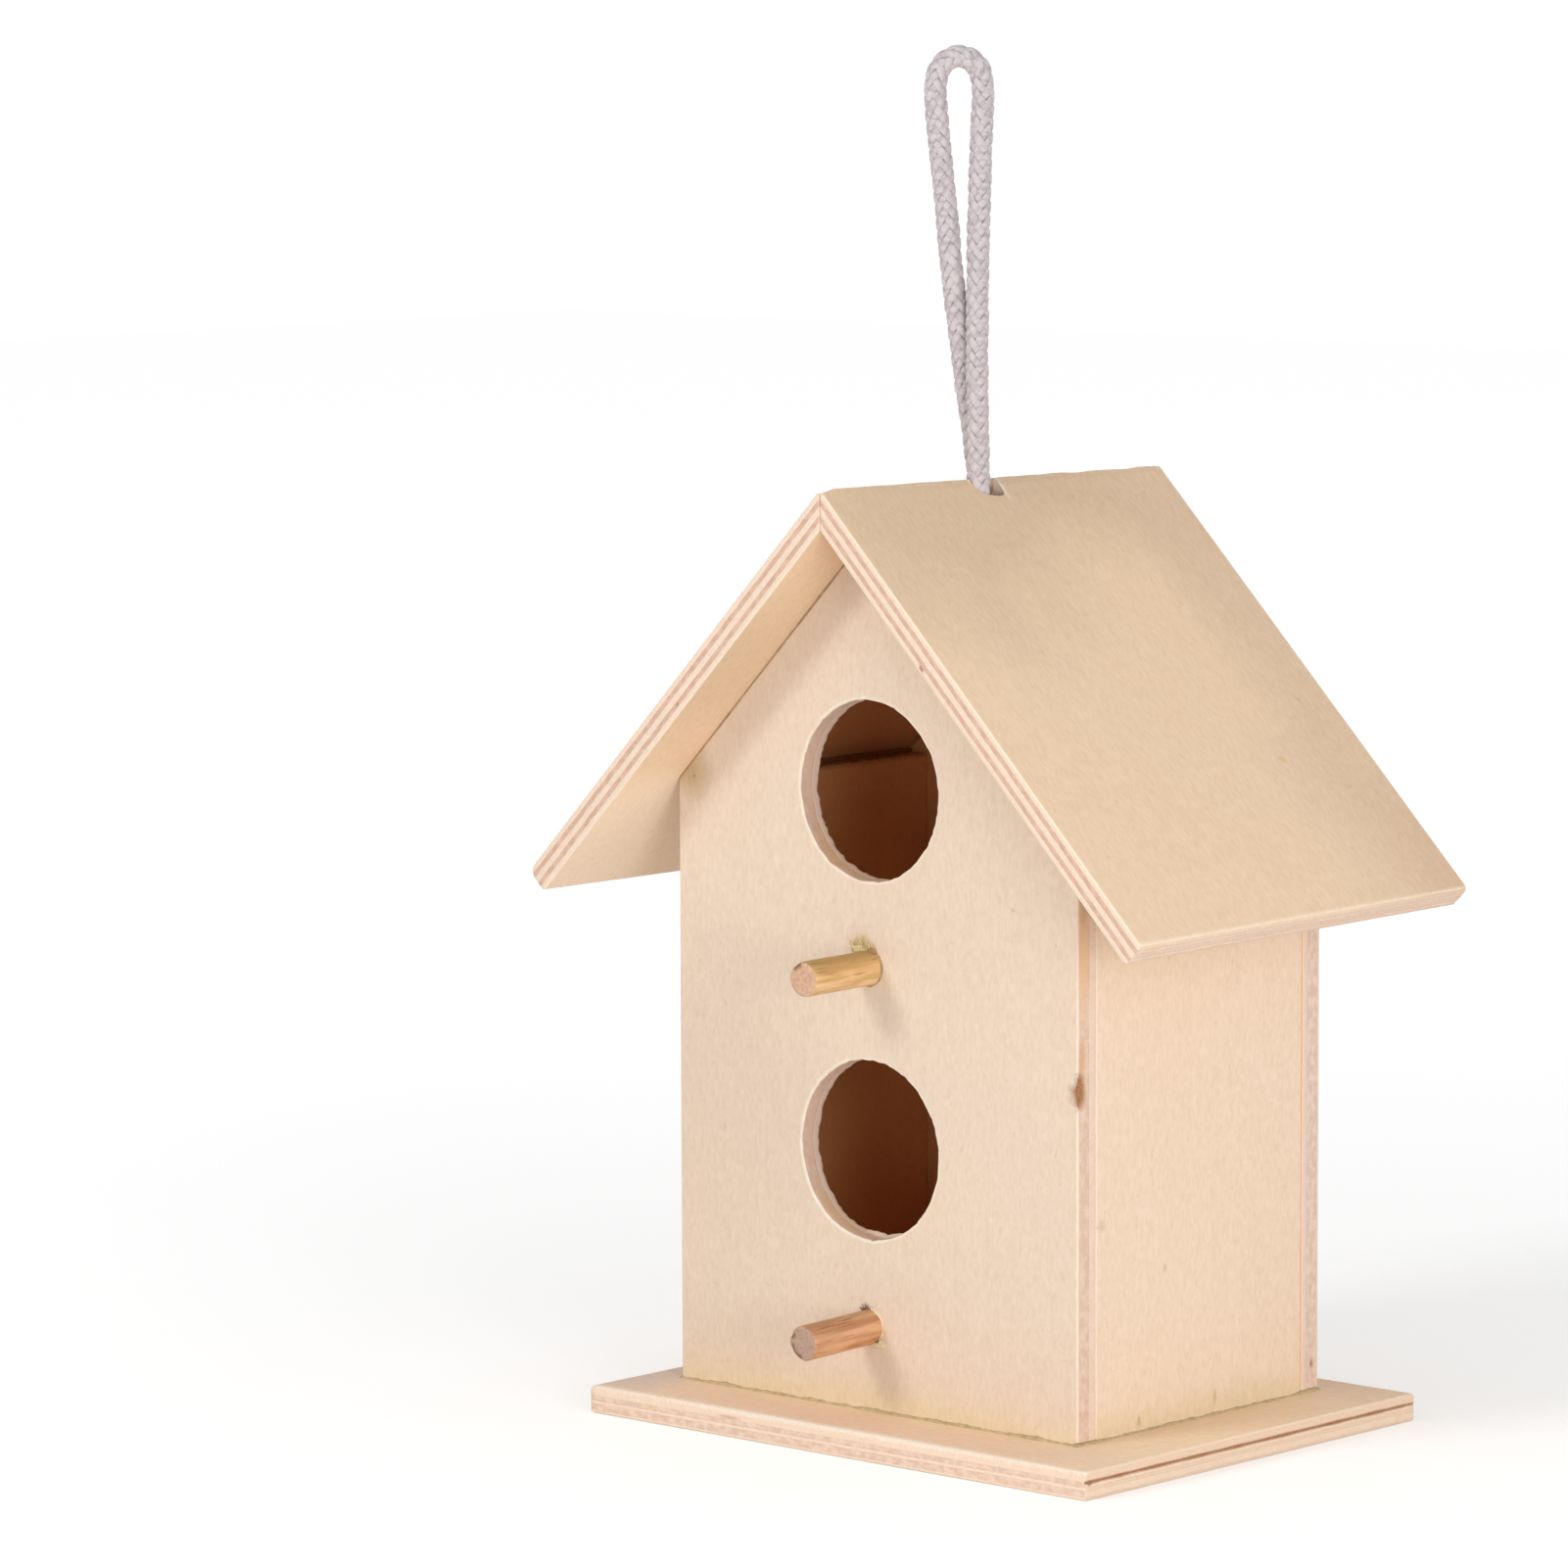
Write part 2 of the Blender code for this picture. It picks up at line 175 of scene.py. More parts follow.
def cut_board(name, corners, plies, rounds=None, leans=None, holes=(), flaws=(), seed=0.0):
    """A plywood board lying flat: inner face at 0, outer face up, edges ply by ply, holes drilled through.

    Each side has its roundings below and above. A hole is (x, y, radius, roughness). A flaw is (side,
    distance along it, level, half length, half height, depth). The mesh keeps how deep each point lies in a
    flaw, for painted shade there, how near it lies to the middle of an arris, for wear and a painted
    highlight there, and whether it is on a drilled wall, for the finish.
    """
    corners = [Vector(corner) for corner in corners]
    rounds = rounds or [(arris, arris)] * len(corners)
    leans = leans or {}
    thickness = sum(plies)
    joints = list(accumulate(plies))[:-1]
    counts = [max(2, round((corners[(index + 1) % len(corners)] - corner).length / edge_step))
              for index, corner in enumerate(corners)]
    shape = bmesh.new()
    hollow_shade, wear_and_highlight, bored = [], [], []

    def ring_at(points, level):
        """One ring of points, each sunk by the joint, the saw's wander, torn fibres and any flaw there."""
        ring = []
        crosswise = sum(level > joint for joint in joints) % 2
        near_joint = min((abs(level - joint) for joint in joints), default=1)
        for place, outward, side, along in points:
            spot = Vector((place.x, place.y, level)) / mm + Vector((seed, 0, 0))
            rough = holes[side - len(corners)][3] if side >= len(corners) else 1.0
            sunk = joint_groove * max(0.0, 1 - near_joint / (3 * joint_half))
            sunk += saw_wander * (noise.noise(spot * slow_saw) + 0.4 * noise.noise(spot * quick_saw))
            sunk += crosswise * torn_depth * (0.5 + noise.noise(spot * torn_grain))
            sunk *= rough
            if side >= len(corners):
                flat_spot = Vector((spot.x, spot.y, side))
                sunk += rough * rim_wander * noise.noise(flat_spot * rim_waves)
                sunk += rough * rim_chips * max(0.0, noise.noise(flat_spot * chip_waves))
                splinter = max(0.0, 0.25 + noise.noise(flat_spot * splinter_waves))
                sunk += rough * break_out * splinter * max(0.0, 1 - level / break_out_level)
            open_share = 0.0
            for flaw_side, flaw_along, flaw_level, half_length, half_height, depth in flaws:
                if flaw_side != side:
                    continue
                ragged = 1 + 0.3 * noise.noise(spot * flaw_waves)
                share = 1 - ((along - flaw_along) / (half_length * ragged)) ** 2 \
                    - ((level - flaw_level) / (half_height * ragged)) ** 2
                if share > 0:
                    sunk += depth * min(1.0, 1.5 * share)
                    open_share = max(open_share, min(1.0, 1.7 * share) if depth > 0 else 0.0)
            place = place - outward * sunk
            ring.append(shape.verts.new((place.x, place.y, level)))
            depth_below = min(level, thickness - level)
            hollow_shade.append(open_share)
            wear_and_highlight.append(math.sin(math.pi * min(1.0, depth_below / arris)))
            bored.append(1.0 if side >= len(corners) else 0.0)
        return ring

    def flat_ring(points, level):
        """One ring on the flat of a face."""
        for values in (hollow_shade, wear_and_highlight, bored):
            values.extend([0.0] * len(points))
        return [shape.verts.new((place.x, place.y, level)) for place, *_ in points]

    def outline_at(level, extra):
        """The board's outline at one level, with its rounded and leaning edges."""
        insets = []
        for side, (below, above) in enumerate(rounds):
            inset = extra + max(rounding(below, level), rounding(above, thickness - level))
            if side in leans:
                inset = extra + leans[side](thickness - level)
            insets.append(inset)
        return edge_points(inset_outline(corners, insets), counts)

    def hole_at(index, level, extra):
        """A hole's outline at one level."""
        centre_x, centre_y, radius, rough = holes[index]
        wider = extra + rough * rounding(arris, min(level, thickness - level))
        points = hole_points(Vector((centre_x, centre_y)), radius, len(corners) + index)
        return [(place - outward * wider, outward, side, along) for place, outward, side, along in points]

    levels = edge_levels(plies)
    ends = ([], [])
    for outline in [outline_at] + [partial(hole_at, index) for index in range(len(holes))]:
        rings = [flat_ring(outline(0.0, face_margin), 0.0)]
        rings += [ring_at(outline(level, 0.0), level) for level in levels]
        rings.append(flat_ring(outline(thickness, face_margin), thickness))
        skin(shape, rings[:2], smooth=False)
        skin(shape, rings[1:-1])
        skin(shape, rings[-2:], smooth=False)
        for end, ring in zip(ends, (rings[0], rings[-1])):
            end += [shape.edges.get((ring[index - 1], ring[index])) for index in range(len(ring))]
    for end in ends:
        bmesh.ops.triangle_fill(shape, use_beauty=True, use_dissolve=False, edges=end)
    bmesh.ops.recalc_face_normals(shape, faces=shape.faces[:])
    board = built(name, shape)
    for label, values in (("hollow_shade", hollow_shade), ("wear_and_highlight", wear_and_highlight), ("bored", bored)):
        board.data.attributes.new(label, "FLOAT", "POINT").data.foreach_set("value", values)
    return board


class Finish:
    """A material put together step by step. Each step returns the output that carries its result."""

    def __init__(self, name):
        self.material = bpy.data.materials.new(name)
        self.material.use_nodes = True
        self.tree = self.material.node_tree
        self.shader = self.tree.nodes["Principled BSDF"]

    def step(self, kind, inputs, output=0, **settings):
        """One node with its settings; an input is a plain value or another step's output."""
        node = self.tree.nodes.new("ShaderNode" + kind)
        for key, value in settings.items():
            setattr(node, key, value)
        for key, value in inputs.items():
            self.feed(node.inputs[key], value)
        return node.outputs[output]

    def feed(self, socket, value):
        """Link an output to a socket, or set a plain value on it."""
        if isinstance(value, bpy.types.NodeSocket):
            self.tree.links.new(value, socket)
        elif socket.type == "RGBA":
            socket.default_value = (*value, 1.0)
        else:
            socket.default_value = value

    def maths(self, operation, first, second=0.0):
        return self.step("Math", {0: first, 1: second}, operation=operation)

    def spread(self, value, low, high, to_low=0.0, to_high=1.0):
        """A value stretched from one range to another, and held inside it."""
        return self.step("MapRange", {0: value, 1: low, 2: high, 3: to_low, 4: to_high})

    def mix(self, share, first, second, way="MIX"):
        return self.step("Mix", {0: share, 6: first, 7: second}, 2, data_type="RGBA", blend_type=way)

    def tint(self, colour, tone, value, low, high, share=1.0, way="MIX"):
        """A tone laid over a colour, more of it the farther a value has got from low to high."""
        return self.mix(self.spread(value, low, high, 0.0, share), colour, tone, way)

    def stretched(self, where, factors, shift=0.0):
        return self.step("Mapping", {"Vector": where, "Location": (shift, shift, shift), "Scale": factors})

    def mottle(self, where, scale, detail, factors=None, shift=0.0):
        """Noise at a place, or at a place that is stretched and shifted first."""
        if factors:
            where = self.stretched(where, factors, shift)
        return self.step("TexNoise", {"Vector": where, "Scale": scale, "Detail": detail})

    def kept(self, label, output="Fac"):
        """What a mesh keeps under a name, point by point."""
        return self.step("Attribute", {}, output, attribute_name=label)

    def ramp(self, value, stops, interpolation):
        """A value read off a scale of stops, each a place and a height."""
        node = self.tree.nodes.new("ShaderNodeValToRGB")
        self.feed(node.inputs[0], value)
        scale = node.color_ramp
        scale.interpolation = interpolation
        for index, (place, height) in enumerate(stops):
            stop = scale.elements[index] if index < 2 else scale.elements.new(place)
            stop.position = place
            stop.color = (height, height, height, 1)
        return node.outputs[0]

    def marked(self, colour, where, ragged, marks):
        """Soft-edged spots on a colour. A mark is (centre, half sizes, tone, strength), in millimetres."""
        for centre, halves, tone, strength in marks:
            scale = [1 / (half * mm) for half in halves]
            shift = [-middle / half for middle, half in zip(centre, halves)]
            away = self.step("Mapping", {"Vector": where, "Scale": scale, "Location": shift})
            away = self.step("VectorMath", {0: away}, 1, operation="LENGTH")
            away = self.maths("ADD", away, self.spread(ragged, 0.2, 0.8, -0.4, 0.4))
            colour = self.tint(colour, tone, away, 1.0, 0.3, strength)
        return colour

    def complete(self, colour, roughness, gloss, relief, strength, depth):
        """Give the shader its colour, roughness, gloss and fine relief, and hand over the material."""
        self.feed(self.shader.inputs["Base Color"], colour)
        self.feed(self.shader.inputs["Roughness"], roughness)
        self.feed(self.shader.inputs["Specular IOR Level"], gloss)
        bump = self.step("Bump", {"Strength": strength, "Distance": depth, "Height": relief})
        self.feed(self.shader.inputs["Normal"], bump)
        return self.material


def shaded(tone, red, green, blue):
    """A colour made darker or lighter, channel by channel."""
    return tone[0] * red, tone[1] * green, tone[2] * blue


def plywood(name, plies, grain, tone, seed, edge_tones, inner_shade_side=-1, inner_shade_patch=None, fades=(), marks=()):
    """Sanded birch ply: a nearly even face with fine short grain, and edges ply by ply.

    The face veneer's grain runs along the board's X (0) or Y (1). The edge tones are pale, dark and
    blotch: the plies that lie crosswise to the face are dark with blotches where their ends show, the
    others stay pale. Its inner face, or only a patch of it, (low x, high x, low y, high y), is painted brown
    as the shade inside the house. Fades are wide soft marks on its faces only, most of them painted light
    and shade.
    """
    finish = Finish(name)
    step, mix, spread, tint = finish.step, finish.mix, finish.spread, finish.tint
    maths, mottle, stretched = finish.maths, finish.mottle, finish.stretched
    pale_edge, dark_edge, blotch = edge_tones
    thickness = sum(plies)
    joints = [joint / thickness for joint in accumulate(plies)][:-1]
    place = step("TexCoord", {}, "Object")
    facing = step("TexCoord", {}, "Normal")
    spot = [step("SeparateXYZ", {0: place}, axis) for axis in range(3)]
    normal = [step("SeparateXYZ", {0: facing}, axis) for axis in range(3)]
    height = maths("DIVIDE", spot[2], thickness)
    turns = [(joint, (index + 1) % 2) for index, joint in enumerate(joints)]
    crosswise = finish.ramp(height, [(0.0, 0.0)] + turns, "CONSTANT")
    squeeze = 0.4
    along_x, along_y = (squeeze, 1.0, 1.0), (1.0, squeeze, 1.0)
    face_way, cross_way = (along_y, along_x) if grain else (along_x, along_y)
    fibres = step("Mix", {0: crosswise, 4: stretched(place, face_way, seed),
                                 5: stretched(place, cross_way, seed + 1.0)}, 1, data_type="VECTOR")
    across, with_grain = maths("ABSOLUTE", normal[1 - grain]), maths("ABSOLUTE", normal[grain])
    endness = step("Mix", {0: crosswise, 2: with_grain, 3: across}, 0, data_type="FLOAT")
    endness = step("Mix", {0: finish.kept("bored"), 2: endness, 3: crosswise}, 0, data_type="FLOAT")
    endness = spread(endness, 0.35, 0.85)
    edge = spread(maths("ABSOLUTE", normal[2]), 0.75, 0.3)

    fine = mottle(fibres, 1700.0, 3.0)
    fleck = spread(mottle(fibres, 1350.0, 1.0, (1.0, 1.0, 1.0), 3.0), 0.66, 0.78)
    soft = mottle(place, 460.0, 3.0, (1.0, 1.0, 1.0), seed + 2.0)
    broad = mottle(place, 42.0, 3.0, (0.6, 0.6, 0.6), seed + 4.0)
    patchy = mottle(place, 520.0, 2.0, (1.0, 1.0, 1.6), seed + 5.0)
    pores = mottle(place, 2400.0, 2.0)
    long_way = (1.0, 0.03, 1.0) if grain else (0.03, 1.0, 1.0)
    streaks = mottle(place, 620.0, 3.0, long_way, seed + 6.0)

    face = finish.marked(tone, place, broad, fades)
    for mottling, low, high, share, shade in ((fine, 0.3, 0.7, 1.0, (0.92, 0.90, 0.87)),
                                              (soft, 0.35, 0.65, 0.35, (0.95, 0.935, 0.915)),
                                              (streaks, 0.35, 0.65, 0.25, (0.965, 0.95, 0.925)),
                                              (broad, 0.35, 0.65, 0.3, (1.0, 0.965, 0.925)),
                                              (fleck, 0.0, 1.0, 0.35, (0.86, 0.77, 0.66))):
        face = tint(face, shade, mottling, low, high, share, "MULTIPLY")
    dark = tint(dark_edge, shaded(dark_edge, 0.86, 0.80, 0.80), patchy, 0.38, 0.6)
    dark = tint(dark, blotch, mottle(place, 800.0, 1.0), 0.56, 0.68, 0.7)
    pale = tint(pale_edge, shaded(pale_edge, 0.95, 0.90, 0.87), soft, 0.35, 0.65, 0.6)
    dark = mix(crosswise, shaded(pale_edge, 0.95, 0.89, 0.85), dark)
    sawn = mix(endness, pale, dark)
    sawn = tint(sawn, shaded(dark_edge, 0.8, 0.72, 0.68), pores, 0.45, 0.75, 0.35)
    colour = mix(edge, face, sawn)
    stops = [(0.0, 0.0)]
    for joint in joints:
        stops += [(joint - 0.03, 0.0), (joint, 1.0), (joint + 0.03, 0.0)]
    glued = maths("MULTIPLY", finish.ramp(height, stops, "LINEAR"), spread(patchy, 0.35, 0.62, 0.1, 0.5))
    colour = mix(glued, colour, shaded(dark_edge, 0.78, 0.66, 0.60))
    # partly painted highlight: the arrises are lighter, both as sanded wood and as a highlight
    rubbed_and_highlight = maths("MULTIPLY", finish.kept("wear_and_highlight"), spread(soft, 0.3, 0.6, 0.4, 0.95))
    rubbed_highlight_tone = [min(0.95, channel) for channel in shaded(tone, 1.09, 1.17, 1.27)]
    colour = mix(rubbed_and_highlight, colour, rubbed_highlight_tone)
    outer_rim_highlight = maths("MULTIPLY", spread(finish.kept("bored"), 0.85, 1.0), spread(height, 0.92, 0.96))
    outer_rim_highlight = maths("MULTIPLY", outer_rim_highlight, spread(soft, 0.3, 0.65, 0.85, 0.25))
    colour = mix(outer_rim_highlight, colour, rim_wear_and_highlight)
    # painted shade: the inner face, or only its patch, takes the brown of the shade inside the house
    inner = spread(maths("MULTIPLY", normal[2], inner_shade_side), 0.4, 0.8)
    if inner_shade_patch:
        low_x, high_x, low_y, high_y = inner_shade_patch
        for value, low, high in ((spot[0], low_x, high_x), (spot[1], low_y, high_y)):
            inner = maths("MULTIPLY", inner, maths("GREATER_THAN", value, low))
            inner = maths("MULTIPLY", inner, maths("LESS_THAN", value, high))
    inner_shade_colour = tint(inner_shade_brown, shaded(inner_shade_brown, 0.9, 0.82, 0.75), fine, 0.3, 0.7, 0.5)
    colour = mix(inner, colour, inner_shade_colour)
    colour = finish.marked(colour, place, pores, marks)
    # painted shade: dark brown deep in the flaws
    hollow_shade = tint((0.50, 0.25, 0.105), (0.30, 0.125, 0.06), pores, 0.35, 0.65)
    colour = mix(finish.kept("hollow_shade"), colour, hollow_shade)
    relief = maths("SUBTRACT", maths("MULTIPLY", fine, 0.6), fleck)
    relief = maths("ADD", relief, maths("MULTIPLY", maths("MULTIPLY", pores, edge), 1.6))
    return finish.complete(colour, spread(fine, 0.3, 0.7, 0.6, 0.76), 0.28, relief, 0.45, 0.05 * mm)


def stand(piece, origin, across, up):
    """Put a board in its place: its X runs across, its Y runs up, and its outer face looks along its Z."""
    across, up = Vector(across), Vector(up)
    turn = Matrix((across, up, across.cross(up))).transposed().to_4x4()
    piece.matrix_world = Matrix.Translation(origin) @ turn


def fix_on(piece, node, finish):
    """Give a piece its finish, and let it stand for a node on the house."""
    piece.data.materials.append(finish)
    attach(piece, "house")
    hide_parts(node)


base_low, base_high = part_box("base_plate")
wall_low, wall_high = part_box("front_panel")
back_low, back_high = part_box("back_panel")
base_plies = (0.55 * mm, 1.15 * mm, 0.6 * mm, 0.85 * mm, 1.85 * mm)
base_width, base_depth = base_high.x - base_low.x, base_high.y - base_low.y
open_joint = (1, base_depth / 2, 3.15 * mm, base_depth, 0.2 * mm, 0.2 * mm)
base_tone = (0.915, 0.68, 0.508)
base_edges = ((0.93, 0.74, 0.57), (0.87, 0.665, 0.52), (0.90, 0.69, 0.55))
split_brown = (0.50, 0.24, 0.11)
base_marks = [((base_width / mm, along, 3.15), (1.2, reach, 0.5), split_brown, 0.8)
              for along, reach in ((2.6, 2.0), (9.0, 4.0), (19.0, 4.5), (30.0, 5.0),
                                   (41.0, 4.0), (54.0, 6.0), (69.0, 4.5), (80.0, 5.0))]
base_marks += [
    # partly painted highlight: a lighter stripe along the top front edge, sanded wood and a highlight
    ((base_width / mm * 0.5, 0.6, 5.0), (90.0, 1.6, 0.9), (0.95, 0.85, 0.72), 0.85),
    ((base_width / mm, 1.2, 3.0), (0.9, 0.9, 0.6), (0.22, 0.085, 0.04), 1.0),
    ((34.0, 0.0, 3.6), (3.6, 0.8, 0.4), (0.50, 0.33, 0.26), 0.6),
    ((0.2, 0.2, 3.0), (1.6, 1.6, 1.2), (0.62, 0.44, 0.34), 0.5),
    ((0.0, base_depth / mm - 1.0, 4.6), (1.6, 5.0, 1.0), (0.62, 0.50, 0.42), 0.6),
]
left_grey = (0.745, 0.60, 0.515)
# painted light: lighter on the base beside the foot of the front and right walls, and towards its right end
seat_painted_light = (0.92, 0.735, 0.49)
right_side_painted_light = (1.0, 0.80, 0.585)
left_margin, front_margin = 8.1, 15.6
house_width, house_depth = 93.5, 67.2
base_fades = [
    ((0.0, base_depth / mm * 0.5, 5.0), (15.0, base_depth / mm * 1.2, 9.0), left_grey, 0.9),
    ((base_width / mm, base_depth / mm * 0.5, 5.0), (26.0, base_depth / mm, 9.0), right_side_painted_light, 1.0),
    ((left_margin + house_width / 2, front_margin, 5.0), (52.0, 5.0, 9.0), seat_painted_light, 0.75),
    ((left_margin + house_width, front_margin + house_depth / 2, 5.0), (5.0, 40.0, 9.0), seat_painted_light, 0.75),
]
base_outline = [(0, 0), (base_width, 0), (base_width, base_depth), (0, base_depth)]
base = cut_board("base_board", base_outline, base_plies,
                 rounds=[(arris, 0.7 * mm), (0.5 * mm, 0.5 * mm), (arris, 0.6 * mm), (0.6 * mm, 1.0 * mm)],
                 flaws=[open_joint], seed=11.0)
stand(base, base_low, (1, 0, 0), (0, 1, 0))
# painted shade: the base's top inside the walls is painted brown
shade_inside_walls = (wall_low.x - base_low.x, wall_high.x - base_low.x,
                wall_low.y - base_low.y, back_high.y - base_low.y)
fix_on(base, "base_plate",
       plywood("base_birch_ply", base_plies, 0, base_tone, 1.3, base_edges,
               inner_shade_side=1, inner_shade_patch=shade_inside_walls, fades=base_fades, marks=base_marks))

# Front wall: five-cornered board of three-ply birch that covers the ends of the side walls. Two entrance
# holes and two perch holes are drilled through it, the lower entrance with a sliver of veneer left inside,
# and a small knot has fallen out of its right edge.
wall_plies = (1.9 * mm, 2.5 * mm, 0.6 * mm)
wall_tone = (0.84, 0.685, 0.55)
wall_edges = ((0.87, 0.69, 0.56), (0.86, 0.645, 0.51), (0.84, 0.58, 0.40))
# warmer and yellower towards the foot of the walls
warm_foot_tone = (0.83, 0.67, 0.44)
bore_pink = (0.84, 0.60, 0.47)
bore_brown = (0.80, 0.53, 0.31)
wall_width, wall_rise = wall_high.x - wall_low.x, wall_high.z - wall_low.z
shoulder_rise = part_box("right_side_panel")[1].z - wall_low.z
drill_x = (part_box("upper_perch")[0].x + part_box("upper_perch")[1].x) / 2 - wall_low.x
entrance_radius = 16.0 * mm
perch_radius = 3.1 * mm
perch_hole_radius = perch_radius + 0.03 * mm
lower_entrance, upper_entrance = 46.4 * mm, 110.2 * mm
lower_perch_rise, upper_perch_rise = 14.8 * mm, 78.9 * mm
gable = [(0, 0), (wall_width, 0), (wall_width, shoulder_rise),
         (wall_width / 2, wall_rise), (0, shoulder_rise)]
front_holes = [(drill_x, rise, entrance_radius, 1.0) for rise in (lower_entrance, upper_entrance)]
front_holes += [(drill_x, rise, perch_hole_radius, 0.0) for rise in (lower_perch_rise, upper_perch_rise)]
fallen_knot = (1, 61.4 * mm, 3.9 * mm, 3.4 * mm, 1.3 * mm, 0.6 * mm)
left_sliver = (len(gable), math.radians(272) * entrance_radius, 0.5 * mm, 6.0 * mm, 0.7 * mm, -0.6 * mm)
veneer_orange = (0.82, 0.56, 0.34)
right_corner = wall_width / mm
shoulder_mark = shoulder_rise / mm
front_marks = [
    ((right_corner, 85.0, 3.4), (0.9, 14.0, 1.9), veneer_orange, 1.0),
    ((right_corner, 93.0, 3.5), (0.7, 3.0, 1.2), (0.66, 0.42, 0.27), 0.6),
    ((right_corner, 67.0, 3.8), (0.8, 5.0, 1.2), (0.68, 0.42, 0.24), 0.9),
    ((right_corner, 61.4, 3.5), (1.0, 3.0, 0.9), (0.50, 0.27, 0.14), 0.9),
    ((right_corner, 40.0, 3.6), (0.6, 34.0, 1.0), (0.84, 0.58, 0.42), 0.3),
    ((right_corner - 0.2, 61.6, 5.0), (0.8, 3.7, 0.8), (0.34, 0.25, 0.24), 0.85),
    ((78.9, 92.0, 5.0), (0.7, 0.45, 0.5), (0.60, 0.44, 0.30), 0.5),
    ((88.7, 86.6, 5.0), (0.45, 0.45, 0.5), (0.60, 0.44, 0.30), 0.5),
    ((3.85, shoulder_mark + 1.0, 5.0), (0.35, 0.4, 0.4), (0.30, 0.17, 0.08), 0.8),
    ((drill_x / mm, 78.9, 5.0), (5.2, 5.0, 0.6), (0.80, 0.64, 0.44), 0.5),
    ((drill_x / mm + 0.6, 14.4, 5.0), (5.2, 5.0, 0.6), (0.82, 0.66, 0.46), 0.5),
]
for entrance in (lower_entrance, upper_entrance):
    front_marks += [((drill_x / mm - 15.0, entrance / mm + 5.0, 2.8), (6.0, 17.0, 2.0), bore_pink, 0.9),
                    ((drill_x / mm - 9.0, entrance / mm - 13.0, 2.8), (13.0, 9.0, 2.0), bore_brown, 0.9)]
olive_stain = (0.56, 0.40, 0.20)
front_fades = [
    ((2.6, shoulder_mark + 1.6, 5.0), (7.0, 6.6, 3.0), olive_stain, 0.75),
    ((10.0, 50.0, 5.0), (28.0, 46.0, 3.0), shaded(wall_tone, 0.94, 0.93, 0.92), 1.0),
    ((wall_width / mm * 0.5, -1.0, 5.0), (wall_width / mm * 1.3, 7.0, 3.0), warm_foot_tone, 0.75),
]
glued_foot = [(0.0, 0.0)]
gable_rounds = glued_foot + [(arris, arris), (arris, 0.15 * mm), (arris, 0.15 * mm), (arris, arris)]
front = cut_board("front_wall", gable, wall_plies, gable_rounds, holes=front_holes,
                  flaws=[fallen_knot, left_sliver], seed=23.0)
stand(front, (wall_low.x, wall_high.y, wall_low.z), (1, 0, 0), (0, 0, 1))
fix_on(front, "front_panel",
       plywood("front_birch_ply", wall_plies, 1, wall_tone, 2.1, wall_edges,
               fades=front_fades, marks=front_marks))

# Back wall: the same gable board without holes, turned to face backwards. Its core is thicker, and there
# is a small hole in it near the foot of its right edge.
back_plies = (1.5 * mm, 2.8 * mm, 0.7 * mm)
back_edges = (wall_edges[0], shaded(wall_edges[1], 1.0, 1.06, 1.1), (0.76, 0.56, 0.48))
back_void = (4, shoulder_rise - 4.7 * mm, 3.2 * mm, 0.6 * mm, 0.6 * mm, 0.5 * mm)
back = cut_board("back_wall", gable, back_plies, gable_rounds, flaws=[back_void], seed=37.0)
stand(back, (back_high.x, back_low.y, back_low.z), (-1, 0, 0), (0, 0, 1))
fix_on(back, "back_panel",
       plywood("back_birch_ply", back_plies, 1, wall_tone, 3.7, back_edges, fades=front_fades[-1:]))

# Side walls: two plain boards glued between the front and the back, grain upright, cut square at the top.
# Their ends are pushed tight against the front and back walls. Their faces are painted lighter than the
# front's as painted light, and their tops darker as painted shade.
tight_joint = 0.02 * mm
# painted light: the side walls are lighter than the front
side_painted_light_tone = shaded(wall_tone, 1.12, 1.09, 1.05)
warm_foot_band = ((28.0, -1.0, 5.0), (80.0, 7.0, 3.0), warm_foot_tone, 0.75)
# painted shade: darker along the side walls' top
top_painted_shade = ((28.0, shoulder_mark, 2.5), (60.0, 1.0, 6.0), (0.46, 0.22, 0.09), 1.0)
right_fades = [warm_foot_band, ((1.0, shoulder_mark - 2.0, 5.0), (10.0, 12.0, 3.0), (0.78, 0.58, 0.39), 0.7)]
right_marks = [
    ((2.2, shoulder_mark - 9.5, 5.0), (0.6, 0.9, 0.6), (0.56, 0.36, 0.20), 0.6),
    ((1.4, 37.4, 5.0), (1.5, 1.4, 0.6), (0.66, 0.52, 0.33), 0.6),
    ((18.7, 27.9, 5.0), (0.5, 1.0, 0.5), (0.58, 0.42, 0.26), 0.6),
    ((11.7, 1.6, 5.0), (0.8, 1.5, 0.6), (0.55, 0.42, 0.18), 0.7),
    ((32.7, 3.0, 5.0), (0.7, 1.7, 0.6), (0.55, 0.42, 0.18), 0.6),
]
for name, node, side, seed, fades, marks in (
        ("left_side_wall", "left_side_panel", -1, 4.9, [warm_foot_band], [top_painted_shade]),
        ("right_side_wall", "right_side_panel", 1, 6.1, right_fades, [top_painted_shade] + right_marks)):
    low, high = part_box(node)
    near, far = wall_high.y + tight_joint, back_low.y - tight_joint
    depth, rise = far - near, high.z - low.z
    wall = cut_board(name, [(0, 0), (depth, 0), (depth, rise), (0, rise)], wall_plies,
                     glued_foot + [(arris, arris)] * 3, seed=seed * 10)
    stand(wall, (low.x, near, low.z) if side > 0 else (high.x, far, low.z), (0, side, 0), (0, 0, 1))
    fix_on(wall, node,
           plywood(name.replace("wall", "birch_ply"), wall_plies, 1, side_painted_light_tone, seed, wall_edges,
                   fades=fades, marks=marks))

# Perches: two short dowels of other woods, one honey-coloured and one reddish, glued into holes through
# the front wall. Their front ends are sawn off and only roughly broken at the rim, and torn fibres and
# dried glue are left round their roots.
dowel_around, dowel_step = 84, 0.4 * mm
fibre_depth, fine_fibre_depth, sawn_depth = 0.04 * mm, 0.025 * mm, 0.09 * mm
chip_depth, chip_drop = 0.22 * mm, 0.12 * mm
bead_root, bead_overlap = 0.3 * mm, 0.05 * mm
dowel_rim = 0.4 * mm
root_steps = 60


